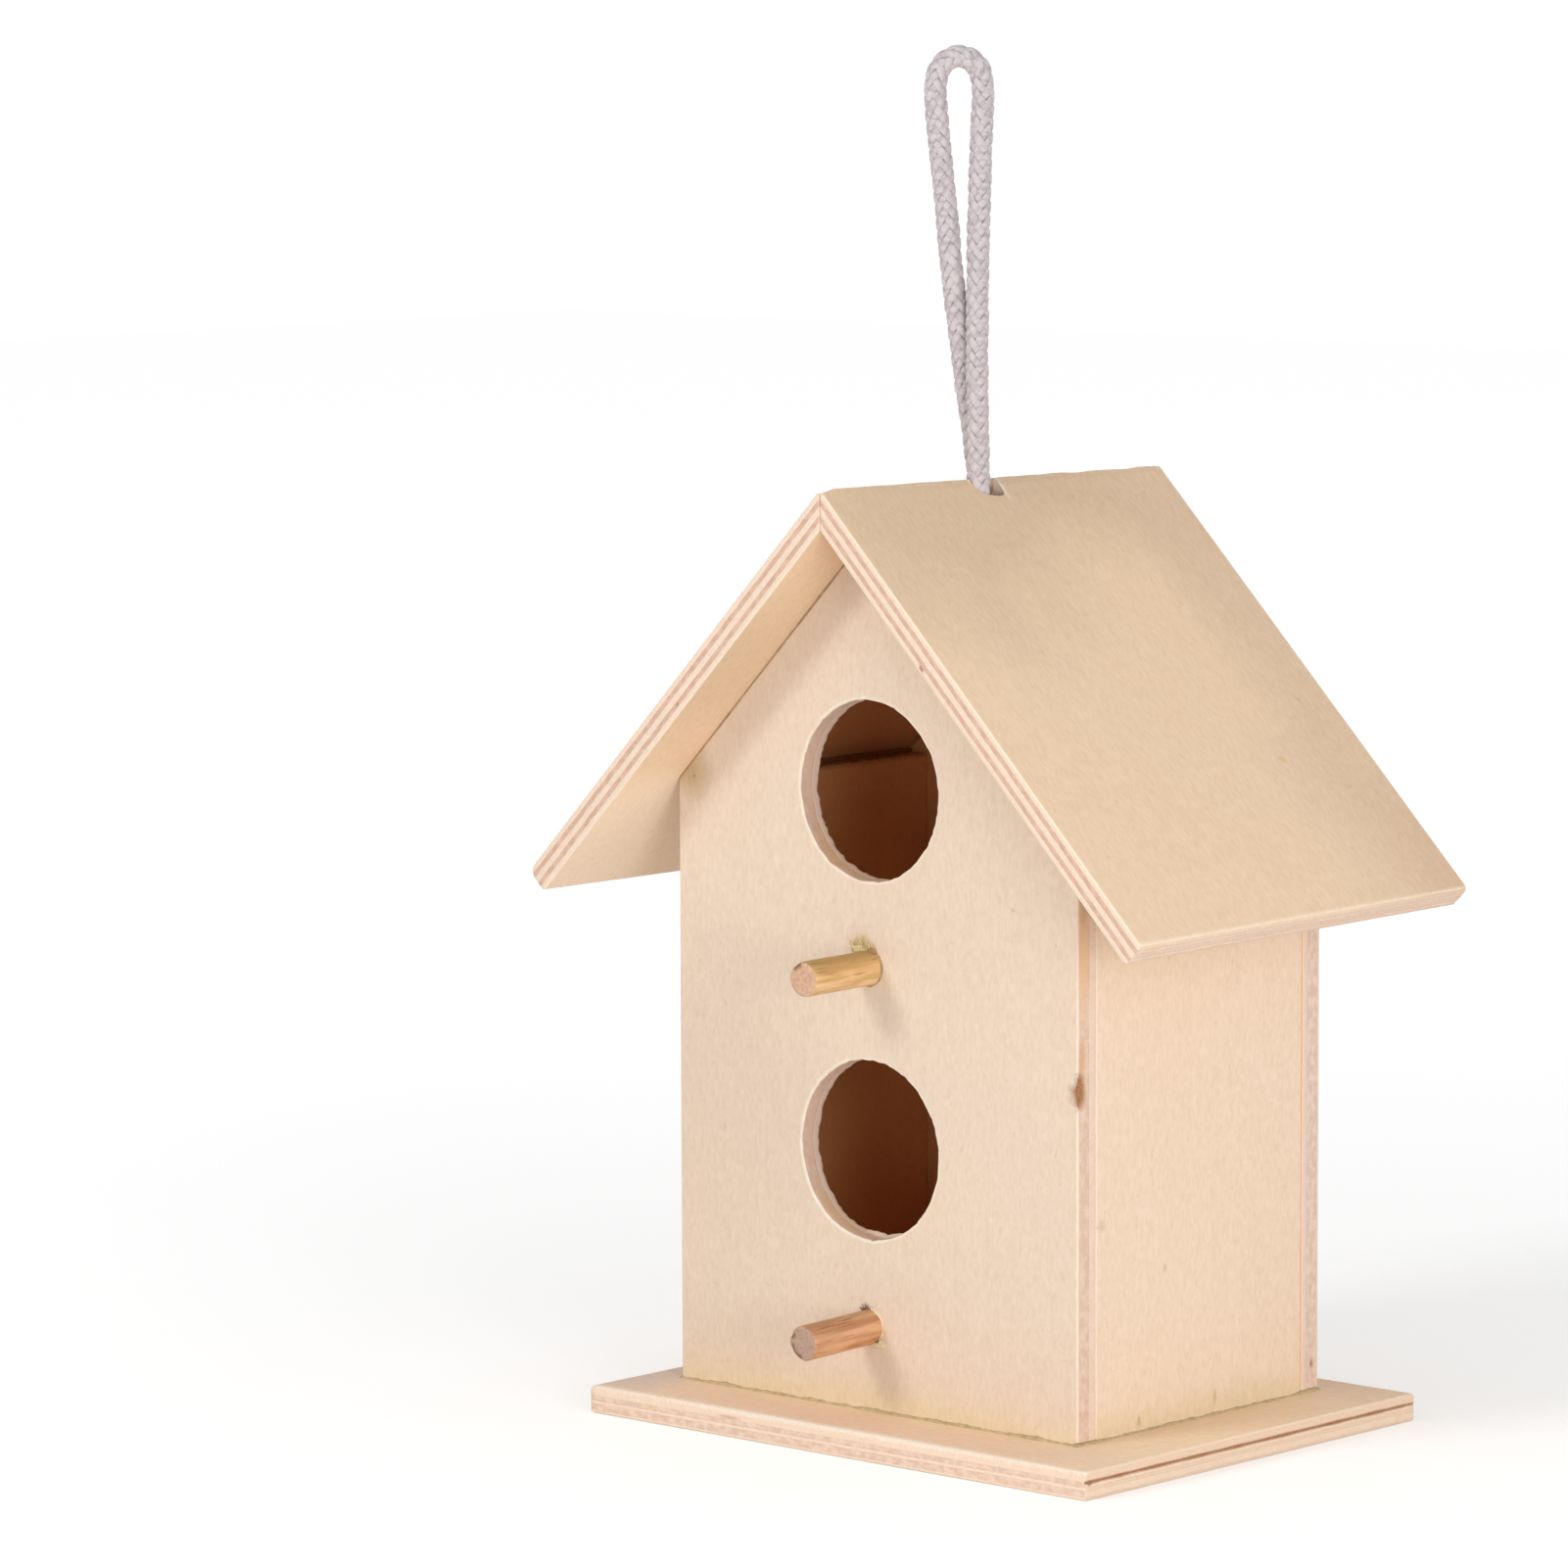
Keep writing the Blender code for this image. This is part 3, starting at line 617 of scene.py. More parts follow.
def dowel_wood(name, tone, above, below, dark, end_tone, seed):
    """Raw dowel: streaks and pores along its length, browner above than below, soft end grain at the tip."""
    finish = Finish(name)
    place = finish.step("TexCoord", {}, "Object")
    facing = finish.step("TexCoord", {}, "Normal")
    lengthwise = finish.stretched(place, (1.0, 1.0, 0.06), seed)
    streak = finish.mottle(lengthwise, 760.0, 3.0)
    pore = finish.spread(finish.mottle(lengthwise, 2300.0, 2.0), 0.6, 0.72)
    cloud = finish.mottle(place, 260.0, 2.0, (1.0, 1.0, 0.4), seed + 1.0)
    grain = finish.mottle(place, 1500.0, 3.0)
    upward = finish.step("SeparateXYZ", {0: facing}, 1)
    upward = finish.maths("ADD", upward, finish.spread(streak, 0.3, 0.7, -0.25, 0.25))
    colour = finish.tint(tone, above, upward, 0.25, 0.95)
    colour = finish.tint(colour, below, upward, 0.0, -0.8)
    colour = finish.tint(colour, dark, streak, 0.42, 0.66, 0.75)
    colour = finish.tint(colour, shaded(dark, 0.95, 0.85, 0.75), cloud, 0.4, 0.66, 0.5)
    colour = finish.mix(finish.maths("MULTIPLY", pore, 0.7), colour, shaded(dark, 0.62, 0.5, 0.42))
    tip = finish.spread(finish.step("SeparateXYZ", {0: facing}, 2), 0.55, 0.9)
    sawn = finish.tint(end_tone, shaded(end_tone, 0.74, 0.66, 0.64), grain, 0.35, 0.7, 0.8)
    colour = finish.mix(tip, colour, sawn)
    # painted shade: dark in the chips at the rim
    colour = finish.mix(finish.kept("hollow_shade"), colour, shaded(dark, 0.36, 0.28, 0.22))
    relief = finish.maths("SUBTRACT", streak, pore)
    return finish.complete(colour, finish.spread(streak, 0.3, 0.7, 0.52, 0.72), 0.32, relief, 0.7, 0.12 * mm)


def turned_dowel(name, radius, length, rim, chips, seed):
    """A dowel along its Z from its inner end, with lengthwise fibres.

    A chip is (angle, width) at its front rim.
    """
    shape = bmesh.new()
    hollow_shade = []
    steps = round(length / dowel_step)
    profile = [(radius * 0.35, 0.0), (radius * 0.8, 0.0), (radius - rim / 2, 0.0), (radius, rim / 2)]
    profile += [(radius, rim / 2 + (length - rim * 1.5) * step / steps) for step in range(1, steps + 1)]
    profile += [(radius - rim * 0.3, length - rim * 0.3), (radius - rim, length)]
    profile += [(radius * share, length) for share in (0.75, 0.55, 0.35, 0.15)]
    rings = []
    for ring_radius, height in profile:
        ring = []
        for step in range(dowel_around):
            angle = 2 * math.pi * step / dowel_around
            radial = Vector((math.cos(angle), math.sin(angle), 0))
            spot = Vector((radial.x * 5, radial.y * 5, height / mm * 0.12 + seed))
            fibre = fibre_depth * noise.noise(spot) + fine_fibre_depth * noise.noise(spot * 3.1)
            end_spot = Vector((radial.x * ring_radius, radial.y * ring_radius, seed * mm)) / mm
            sunk_end = sawn_depth * noise.noise(end_spot * 1.3) if height >= length else 0.0
            chipped = 0.0
            for middle, width in chips:
                off = (angle - middle + math.pi) % (2 * math.pi) - math.pi
                near_rim = 1 - max(0.0, length - rim - height) / (1.2 * rim)
                near_rim -= (radius - ring_radius) / (0.42 * radius)
                if height > length / 2:
                    chipped = max(chipped, min(1 - (off / width) ** 2, near_rim))
            place = radial * (ring_radius + fibre * (ring_radius / radius) - chip_depth * chipped)
            ring.append(shape.verts.new((place.x, place.y, height + sunk_end - chip_drop * chipped)))
            hollow_shade.append(min(1.0, 1.3 * chipped))
        rings.append(ring)
    skin(shape, rings)
    for ring in (rings[0][::-1], rings[-1]):
        shape.faces.new(ring)
    piece = built(name, shape)
    piece.data.set_sharp_from_angle(angle=math.radians(40))
    piece.data.attributes.new("hollow_shade", "FLOAT", "POINT").data.foreach_set("value", hollow_shade)
    return piece


def glue_finish(name, tone, dark):
    """Dried wood glue with dust and fibres in it."""
    finish = Finish(name)
    place = finish.step("TexCoord", {}, "Object")
    patch = finish.mottle(place, 620.0, 3.0)
    colour = finish.tint(tone, dark, patch, 0.35, 0.65)
    return finish.complete(colour, finish.spread(patch, 0.3, 0.7, 0.4, 0.65), 0.4, patch, 0.5, 0.1 * mm)


def glue_bead(name, path, finish, seed, most, least):
    """A bead in the corner between two faces. The path is places in the corner, each with its two ways out.

    The bead swells and thins along its way, from its least to its most reach in millimetres.
    """
    shape = bmesh.new()
    rings = []
    for place, outward, up in path:
        spot = place / mm + Vector((seed, 0, 0))
        swell = 0.45 + 0.55 * noise.noise(spot * 0.19) + 0.4 * noise.noise(spot * 1.1)
        reach = (least + (most - least) * min(1.0, max(0.0, swell))) * mm
        rings.append([shape.verts.new(place + outward * out + up * rise) for out, rise in (
            (-bead_root, -bead_overlap), (-bead_overlap, reach), (reach * 0.3, reach * 0.42),
            (reach * 0.62, reach * 0.16), (reach, -bead_overlap))])
    around = len(rings[0])
    for index, face in enumerate(skin(shape, rings + rings[:1])):
        face.smooth = index % around in (1, 2, 3)
    bmesh.ops.recalc_face_normals(shape, faces=shape.faces[:])
    built(name, shape, finish)


def glue_lump(name, root, offset, halves, finish, seed):
    """A dried drop of glue with torn fibres in it, half sunk into the wall beside a perch's root.

    Its offset from the root and its half sizes are in millimetres.
    """
    centre = root + Vector(offset) * mm
    shape = bmesh.new()
    bmesh.ops.create_icosphere(shape, subdivisions=4, radius=1.0)
    for vertex in shape.verts:
        spot = vertex.co * 1.6 + Vector((seed, 0, 0))
        swell = 1 + 0.34 * noise.noise(spot) + 0.2 * noise.noise(spot * 3.0)
        vertex.co = centre + Vector(half * mm * way * swell for half, way in zip(halves, vertex.co))
    for face in shape.faces:
        face.smooth = True
    built(name, shape, finish)


def fibre_tuft(name, foot, half_width, lengths, count, finish, seed):
    """Torn wood fibres that stand up from a perch's root against the wall: thin tapered slivers."""
    random = np.random.default_rng(seed)
    shape = bmesh.new()
    for _ in range(count):
        offset = random.uniform(-half_width, half_width)
        length = random.uniform(*lengths) * (1 - 0.5 * abs(offset / half_width)) * mm
        start = foot + Vector((offset, -random.uniform(0.0, 0.3), random.uniform(-0.5, 0.2))) * mm
        lean = Vector((random.normal(0.0, 0.3), -random.uniform(0.02, 0.3), 1.0)).normalized()
        side, out = lean.cross(Vector((0, 1, 0))).normalized(), lean.cross(Vector((1, 0, 0))).normalized()
        thick = random.uniform(0.1, 0.2) * mm
        bend = side * random.normal(0.0, 0.12) * length
        rings = []
        for share in (0.0, 0.4, 0.8):
            middle = start + lean * length * share + bend * share ** 2
            rings.append([shape.verts.new(middle + (side * x + out * y) * thick * (1 - 0.75 * share))
                          for x, y in ((1, 0), (0, 1), (-1, 0), (0, -1))])
        tip = shape.verts.new(start + lean * length + bend)
        skin(shape, rings, smooth=False)
        for index in range(4):
            shape.faces.new((rings[-1][index], rings[-1][(index + 1) % 4], tip))
        shape.faces.new(rings[0][::-1])
    bmesh.ops.recalc_face_normals(shape, faces=shape.faces[:])
    built(name, shape, finish)


upper_root, lower_root = [Vector((wall_low.x + drill_x, wall_low.y, wall_low.z + rise))
                          for rise in (upper_perch_rise, lower_perch_rise)]
pale_glue = glue_finish("pale_glue", (0.84, 0.69, 0.48), (0.70, 0.53, 0.31))
brown_glue = glue_finish("brown_glue", (0.55, 0.36, 0.16), (0.36, 0.21, 0.09))
for name, node, drilled_at, reach, droop, woods, chips, root_glue, seed in (
        ("upper_dowel", "upper_perch", upper_root, 17.3 * mm, math.radians(0.9),
         ((0.85, 0.56, 0.28), (0.36, 0.25, 0.08), (0.90, 0.62, 0.36),
          (0.58, 0.36, 0.14), (0.72, 0.46, 0.30)),
         [(math.radians(120), math.radians(26))], brown_glue, 3.0),
        ("lower_dowel", "lower_perch", lower_root, 17.7 * mm, math.radians(1.7),
         ((0.74, 0.42, 0.24), (0.52, 0.29, 0.14), (0.74, 0.41, 0.21),
          (0.46, 0.21, 0.10), (0.52, 0.35, 0.26)),
         [(math.radians(225), math.radians(48)), (math.radians(150), math.radians(16))], pale_glue, 8.0)):
    piece = turned_dowel(name, perch_radius, reach + sum(wall_plies), dowel_rim, chips, seed)
    outward = Vector((0, -math.cos(droop), -math.sin(droop)))
    stand(piece, drilled_at - outward * sum(wall_plies), (1, 0, 0), outward.cross(Vector((1, 0, 0))))
    fix_on(piece, node, dowel_wood(name + "_wood", *woods, seed))
    root = []
    for step in range(root_steps):
        angle = 2 * math.pi * step / root_steps
        radial = Vector((math.cos(angle), 0, math.sin(angle)))
        root.append((drilled_at + radial * perch_radius, radial, Vector((0, -1, 0))))
    glue_bead(node + "_root_glue", root, root_glue, seed, most=0.5, least=0.05)
torn_wood = glue_finish("torn_wood", (0.80, 0.66, 0.36), (0.62, 0.48, 0.22))
fibre_tuft("torn_fibres", upper_root + Vector((-1.3, 0, 3.0)) * mm, 2.6, (1.8, 4.3), 52, torn_wood, 4)
glue_lump("torn_fibres_foot", upper_root, (-1.9, -0.1, 3.2), (1.7, 0.55, 0.75), torn_wood, 6.0)
glue_lump("root_dark_glue", upper_root, (1.0, -0.3, 3.15), (0.9, 0.5, 0.5), brown_glue, 7.0)
dark_glue = glue_finish("dark_glue", (0.28, 0.17, 0.10), (0.18, 0.10, 0.06))
fibre_tuft("root_splinters", lower_root + Vector((-0.7, 0, 2.9)) * mm, 1.0, (0.8, 1.9), 16, dark_glue, 2)
glue_lump("root_glue_rim", lower_root, (1.9, -0.1, -2.75), (1.9, 0.5, 0.95), pale_glue, 9.0)
glue_lump("root_dark_spot", lower_root, (2.1, -0.55, -2.15), (0.55, 0.35, 0.45), dark_glue, 3.0)

# Roof boards: two birch ply boards mitred together at the ridge, grain running down the slope. The ridge
# is sanded lower towards the back, its front tip is knocked down, the eaves are rounded, the right one
# cut a little askew, and the cord's hole is cut straight down through the joint.
roof_pitch = math.radians(45.5)
cad_ridge_flat = 0.5 * mm
left_length = 101.3 * mm
right_length_front, right_length_back = 103.2 * mm, 101.9 * mm
cord_hole_from_front = 43.1 * mm
cord_hole_outline = ((-2.6, -4.2), (0.4, -4.2), (1.6, -3.7), (2.9, -2.4), (3.2, -0.6),
                     (3.4, 2.0), (2.8, 3.0), (-3.0, 3.3), (-4.0, 2.4), (-4.0, -2.4))
tip_drop, tip_length = 0.75 * mm, 3.6 * mm
ridge_wave = 0.4 * mm
ridge_low_front, ridge_low_back = 0.04 * mm, 0.72 * mm
roof_plies = (1.1 * mm, 0.8 * mm, 1.2 * mm, 0.8 * mm, 1.1 * mm)
roof_tone = (0.92, 0.695, 0.49)
roof_edges = ((0.90, 0.72, 0.58), (0.75, 0.51, 0.38), (0.80, 0.50, 0.36))
# painted shade: darker towards the ridge
ridge_painted_shade = shaded(roof_tone, 0.84, 0.83, 0.815)
roof_front, roof_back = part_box("right_roof_panel")[0].y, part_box("right_roof_panel")[1].y
roof_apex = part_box("right_roof_panel")[1].z + cad_ridge_flat / 2 * math.tan(roof_pitch)
roof_run = roof_back - roof_front
roof_thickness = sum(roof_plies)


def mitre(depth):
    """How far the ridge edge lies down the slope at a depth below the outer face."""
    return depth * math.tan(roof_pitch)


def cord_drill():
    """The cutter for the cord's hole, upright through the ridge, with its corners rounded."""
    outline = [Vector(corner) * mm for corner in cord_hole_outline]
    for _ in range(3):
        outline = [near.lerp(far, share) for near, far in zip(outline, outline[1:] + outline[:1])
                   for share in (0.25, 0.75)]
    shape = bmesh.new()
    middle = Vector((0, roof_front + cord_hole_from_front, roof_apex - roof_thickness))
    ends = [[shape.verts.new(middle + Vector((corner.x, corner.y, side * 2 * roof_thickness)))
             for corner in outline] for side in (-1, 1)]
    skin(shape, ends, smooth=False)
    shape.faces.new(ends[0][::-1])
    shape.faces.new(ends[1])
    return built("cord_drill", shape)


def sand_ridge(board):
    """Sand the ridge lower towards the back, and knock its front tip down to a small slope."""
    to_board = board.matrix_world.inverted()
    for vertex in board.data.vertices:
        place = board.matrix_world @ vertex.co
        share = (place.y - roof_front) / roof_run
        tip = max(0.0, 1 - (place.y - roof_front) / tip_length)
        limit = roof_apex - ridge_low_front - (ridge_low_back - ridge_low_front) * share - tip_drop * tip
        limit -= ridge_wave * max(0.0, noise.noise(Vector((place.y / mm * 0.16, 0, 2.0))) + 0.3) * share
        if place.z > limit:
            place.z = limit
            vertex.co = to_board @ place


drill = cord_drill()
eave_overhang = 29.6 * mm
# painted shade: the roof boards' undersides inside the house are painted brown
slope_shade_patch = (mitre(roof_thickness), left_length - eave_overhang,
               wall_low.y - roof_front, back_high.y - roof_front)
back_edge = roof_run / mm
# painted shade on the right roof: darker towards the ridge, the back edge and the back lower corner
right_roof_painted_shade = [
    ((0.0, 40.0, 5.0), (42.0, 150.0, 4.0), ridge_painted_shade, 1.0),
    ((50.0, back_edge, 5.0), (150.0, 30.0, 4.0), shaded(roof_tone, 0.88, 0.865, 0.87), 0.9),
    ((102.0, back_edge, 5.0), (26.0, 18.0, 4.0), shaded(roof_tone, 0.84, 0.80, 0.79), 0.8),
]
cream_tear = (0.90, 0.76, 0.58)
right_roof_marks = [
    ((68.9, 68.0, 5.0), (0.8, 1.0, 1.0), (0.74, 0.50, 0.17), 0.7),
    ((56.6, 83.7, 5.0), (0.6, 0.6, 1.0), (0.56, 0.40, 0.24), 0.5),
    ((76.8, 73.0, 5.0), (2.6, 0.55, 1.0), (0.86, 0.70, 0.53), 0.5),
    ((2.4, cord_hole_from_front / mm + 3.2, 4.0), (4.5, 0.9, 3.0), cream_tear, 1.0),
    ((3.6, cord_hole_from_front / mm - 0.5, 4.0), (1.2, 4.5, 3.0), (0.70, 0.55, 0.36), 0.7),
]
# painted light and shade on the left roof: darker at the ridge; underneath, lighter beside the wall and at
# the eave, darker midway
left_roof_painted_light_and_shade = [
    ((79.0, 48.0, 0.0), (13.0, 120.0, 3.0), (1.0, 0.79, 0.60), 0.9),
    ((0.0, 50.0, 5.0), (42.0, 150.0, 4.0), ridge_painted_shade, 1.0),
    ((left_length / mm * 0.45, 50.0, 0.0), (30.0, 150.0, 3.0), shaded(roof_tone, 0.86, 0.85, 0.84), 0.8),
    ((left_length / mm, 50.0, 0.0), (40.0, 150.0, 3.0), (0.95, 0.78, 0.61), 1.0),
]
for name, node, side, seed, lengths, eave_round, fades, marks in (
        ("left_roof_board", "left_roof_panel", -1, 7.7, (left_length, left_length),
         (0.8 * mm, 1.9 * mm), left_roof_painted_light_and_shade, []),
        ("right_roof_board", "right_roof_panel", 1, 9.4, (right_length_front, right_length_back),
         (1.0 * mm, 1.1 * mm), right_roof_painted_shade, right_roof_marks)):
    down = Vector((side * math.cos(roof_pitch), 0, -math.sin(roof_pitch)))
    outward = Vector((side * math.sin(roof_pitch), 0, math.cos(roof_pitch)))
    corners = [(0, 0), (lengths[0], 0), (lengths[1], roof_run), (0, roof_run)]
    edge_void = (0, 33.2 * mm, 0.7 * mm, 0.7 * mm, 0.4 * mm, 0.35 * mm) if side > 0 else \
        (2, lengths[0] - 52.0 * mm, 1.5 * mm, 0.4 * mm, 0.25 * mm, 0.2 * mm)
    rounds = [(arris, arris), eave_round, (arris, arris), (0.0, 0.0)]
    board = cut_board(name, corners, roof_plies, rounds, leans={3: mitre}, flaws=[edge_void], seed=seed * 7)
    start_y = roof_front if side > 0 else roof_back
    stand(board, Vector((0, start_y, roof_apex)) - outward * roof_thickness, down, (0, side, 0))
    bpy.context.view_layer.update()
    cut = board.modifiers.new("cord_hole", "BOOLEAN")
    cut.operation, cut.solver, cut.object = "DIFFERENCE", "EXACT", drill
    bpy.context.view_layer.update()
    drilled = bpy.data.meshes.new_from_object(board.evaluated_get(bpy.context.evaluated_depsgraph_get()))
    board.modifiers.clear()
    board.data = drilled
    sand_ridge(board)
    patch = slope_shade_patch if side > 0 else (*slope_shade_patch[:2], roof_back - back_high.y, roof_back - wall_low.y)
    fix_on(board, node,
           plywood(name.replace("board", "birch_ply"), roof_plies, 0, roof_tone, seed, roof_edges,
                   inner_shade_patch=patch, fades=fades, marks=marks))
bpy.data.objects.remove(drill)

# Hanging cord: one length of round braided cotton, twelve yarns over a soft core. It comes up out of the
# hole in the ridge, stands up as a narrow loop, and goes back down beside itself to the knot inside. The
# core is painted dark, as painted shade between the yarns.
cord_turn = math.radians(42.3)
cord_exit = Vector((0, roof_front + cord_hole_from_front, roof_apex))
knot_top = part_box("cord_knot")[1].z
front_strand_route = [
    (-0.0006, 0.00215, -0.0060),
    (-0.0006, 0.00215, 0.0000),
    (-0.0007, 0.00215, 0.0050),
    (-0.0008, 0.00213, 0.0090),
]
loop_route = [
    (-0.0008, 0.00195, 0.0150),
    (-0.0009, 0.0017, 0.0220),
    (-0.0008, 0.0013, 0.0290),
    (-0.0007, 0.0009, 0.0360),
    (-0.0005, 0.0005, 0.0460),
    (-0.0002, 0.0002, 0.0560),
    (0.0001, 0.0000, 0.0640),
    (0.0002, 0.0000, 0.0690),
    (-0.0008, 0.0000, 0.0726),
    (-0.0039, 0.0000, 0.0742),
    (-0.0070, 0.0000, 0.0726),
    (-0.0081, 0.0000, 0.0690),
    (-0.0079, 0.0000, 0.0640),
    (-0.0071, -0.0002, 0.0560),
    (-0.0061, -0.0005, 0.0460),
    (-0.0052, -0.0009, 0.0360),
    (-0.0043, -0.0013, 0.0290),
    (-0.0035, -0.0017, 0.0220),
    (-0.0026, -0.00195, 0.0150),
]
rear_strand_route = [
    (-0.0006, -0.00215, -0.0060),
    (-0.0007, -0.00215, 0.0000),
    (-0.0012, -0.00215, 0.0050),
    (-0.0016, -0.00213, 0.0090),
]
yarns_each_way = 6
braid_pitch = 14.5 * mm           # for one turn of a yarn round the cord
yarn_step = braid_pitch / 48
yarn_around = 10
yarn_half_width, yarn_half_height = 0.69 * mm, 0.38 * mm
yarn_circle, weave_lift = 1.42 * mm, 0.24 * mm
yarn_twist = 1.6 * mm             # along a yarn, for one turn of its fibres
core_radius = 1.02 * mm
core_around = 20
route_samples = 40
slack_step = 3.0 * mm             # between the places where a yarn lies a little higher or lower
yarn_slack, yarn_plumpness = 0.06 * mm, 0.07


def smooth_route(points, spacing):
    """Evenly spaced points on a smooth curve through the route's points."""
    points = [Vector(point) for point in points]
    padded = [2 * points[0] - points[1]] + points + [2 * points[-1] - points[-2]]
    fine = []
    for a, b, c, d in zip(padded, padded[1:], padded[2:], padded[3:]):
        for sample in range(route_samples):
            t = sample / route_samples
            fine.append(0.5 * (2 * b + (c - a) * t + (2 * a - 5 * b + 4 * c - d) * t ** 2
                               + (3 * b - a - 3 * c + d) * t ** 3))
    fine = np.array(fine + [points[-1]])
    lengths = np.concatenate(([0.0], np.cumsum(np.linalg.norm(np.diff(fine, axis=0), axis=1))))
    wanted = np.linspace(0.0, lengths[-1], max(2, round(lengths[-1] / spacing)) + 1)
    return np.stack([np.interp(wanted, lengths, fine[:, axis]) for axis in range(3)], axis=1)


def carried_sides(places):
    """Two directions square to the route at each place, carried along it without twisting."""
    ahead = np.gradient(places, axis=0)
    ahead /= np.linalg.norm(ahead, axis=1)[:, None]
    side = np.cross(ahead[0], (0.0, 0.0, 1.0) if abs(ahead[0][2]) < 0.9 else (1.0, 0.0, 0.0))
    sides = []
    for direction in ahead:
        side = side - direction * side.dot(direction)
        side = side / np.linalg.norm(side)
        sides.append(side)
    sides = np.array(sides)
    return ahead, sides, np.cross(ahead, sides)


def braided(name, routes, seed):
    """Cords as one mesh: for each route six yarns each way, over two and under two, round a soft core."""
    points, straight, faces, of_core = [], [], [], []

    def tube(rings, laid_out, core):
        """A closed tube through rings of points, with what its points were before braiding."""
        first, (count, around) = sum(len(part) for part in points), rings.shape[:2]
        points.append(rings.reshape(-1, 3))
        straight.append(laid_out.reshape(-1, 3))
        for ring in range(count - 1):
            low, high = first + ring * around, first + (ring + 1) * around
            for index in range(around):
                after = (index + 1) % around
                faces.append((low + index, low + after, high + after, high + index))
        faces.append(tuple(range(first + around - 1, first - 1, -1)))
        faces.append(tuple(range(first + (count - 1) * around, first + count * around)))
        of_core.extend([core] * ((count - 1) * around + 2))

    random = np.random.default_rng(seed)
    for route in routes:
        places = smooth_route(route, yarn_step)
        ahead, sides, ups = carried_sides(places)
        travelled = np.arange(len(places)) * yarn_step
        crossing = 2 * yarns_each_way * travelled / braid_pitch
        around = 2 * math.pi * np.arange(yarn_around) / yarn_around
        slack_count = int((travelled[-1] + 0.01) / slack_step) + 1
        slack_places = slack_step * np.arange(slack_count)
        for way in (1, -1):
            slant = math.atan(2 * math.pi * yarn_circle / braid_pitch) * way
            for yarn in range(yarns_each_way):
                turn = 2 * math.pi * (yarn / yarns_each_way + way * travelled / braid_pitch)
                lift = way * math.sqrt(2) * np.cos(math.pi / 2 * (2 * yarn + way * crossing - 0.5))
                slack = np.interp(travelled, slack_places, random.normal(0.0, yarn_slack, slack_count))
                radial = np.cos(turn)[:, None] * sides + np.sin(turn)[:, None] * ups
                round_way = -np.sin(turn)[:, None] * sides + np.cos(turn)[:, None] * ups
                wide = round_way * math.cos(slant) - ahead * math.sin(slant)
                centre = places + radial * (yarn_circle + weave_lift * np.clip(lift, -1, 1) + slack)[:, None]
                plump = 1 + random.normal(0.0, yarn_plumpness)
                across = np.cos(around) * yarn_half_width * plump
                rings = (centre[:, None] + wide[:, None] * across[None, :, None]
                         + radial[:, None] * (np.sin(around) * yarn_half_height)[None, :, None])
                twisted = around[None, :] + 2 * math.pi * travelled[:, None] / yarn_twist
                lengthwise = np.broadcast_to(travelled[:, None], twisted.shape) + yarn * way * 0.05
                laid_out = np.stack([np.cos(twisted) * yarn_half_width, np.sin(twisted) * yarn_half_width,
                                     lengthwise], axis=2)
                tube(rings, laid_out, 0)
        around = 2 * math.pi * np.arange(core_around) / core_around
        sparse = slice(None, None, 3)
        rings = (places[sparse, None] + core_radius * (np.cos(around)[None, :, None] * sides[sparse, None]
                                                       + np.sin(around)[None, :, None] * ups[sparse, None]))
        tube(rings, rings, 1)
    mesh = bpy.data.meshes.new(name)
    mesh.from_pydata(np.concatenate(points).tolist(), [], faces)
    mesh.attributes.new("yarn_place", "FLOAT_VECTOR", "POINT").data.foreach_set(
        "vector", np.concatenate(straight).astype(np.float32).ravel())
    mesh.polygons.foreach_set("material_index", of_core)
    mesh.polygons.foreach_set("use_smooth", [len(face) == 4 for face in faces])
    mesh.update()
    piece = placed(name, mesh)
    for finish in (cotton, core_cotton_painted_shade):
        piece.data.materials.append(finish)
    return piece


def cotton_yarn(name, tone, shade):
    """Soft unbleached cotton: fine twisted fibres, uneven in tone, matt with a little fuzz."""
    finish = Finish(name)
    place = finish.kept("yarn_place", "Vector")
    fibres = finish.mottle(place, 6000.0, 2.0, (1.0, 1.0, 0.22))
    uneven = finish.mottle(place, 900.0, 2.0, (0.7, 0.7, 1.0))
    hue = finish.mottle(place, 260.0, 1.0, (0.5, 0.5, 1.0), 0.3)
    colour = finish.tint(tone, shade, fibres, 0.3, 0.7, 0.7)
    colour = finish.tint(colour, shaded(tone, 0.90, 0.93, 0.88), hue, 0.35, 0.65, 0.7)
    colour = finish.tint(colour, shaded(shade, 0.80, 0.76, 0.80), uneven, 0.45, 0.7, 0.6)
    finish.shader.inputs["Sheen Weight"].default_value = 0.1
    finish.shader.inputs["Sheen Roughness"].default_value = 0.5
    return finish.complete(colour, finish.spread(fibres, 0.2, 0.8, 0.8, 0.95), 0.2, fibres, 0.5, 0.06 * mm)


def at_ridge(route):
    """A route's points turned with the loop and set over the hole in the ridge."""
    turn = Matrix.Rotation(cord_turn, 3, "Z")
    return [cord_exit + turn @ Vector((across, -towards, up)) for across, towards, up in route]


cotton = cotton_yarn("braided_cotton", (0.72, 0.65, 0.67), (0.45, 0.39, 0.41))
# painted shade: the core's dark colour stands for the shade between the yarns
core_cotton_painted_shade = cotton_yarn("core_cotton_painted_shade", (0.26, 0.22, 0.22), (0.17, 0.14, 0.14))
whole_route = at_ridge(front_strand_route + loop_route + rear_strand_route[::-1])
for end, foot in ((0, whole_route[0].copy()), (len(whole_route) + 1, whole_route[-1].copy())):
    foot.z = knot_top
    whole_route.insert(end, foot)
cord = braided("hanging_cord", [whole_route], 5)
cord_line = smooth_route(whole_route, 2 * mm)

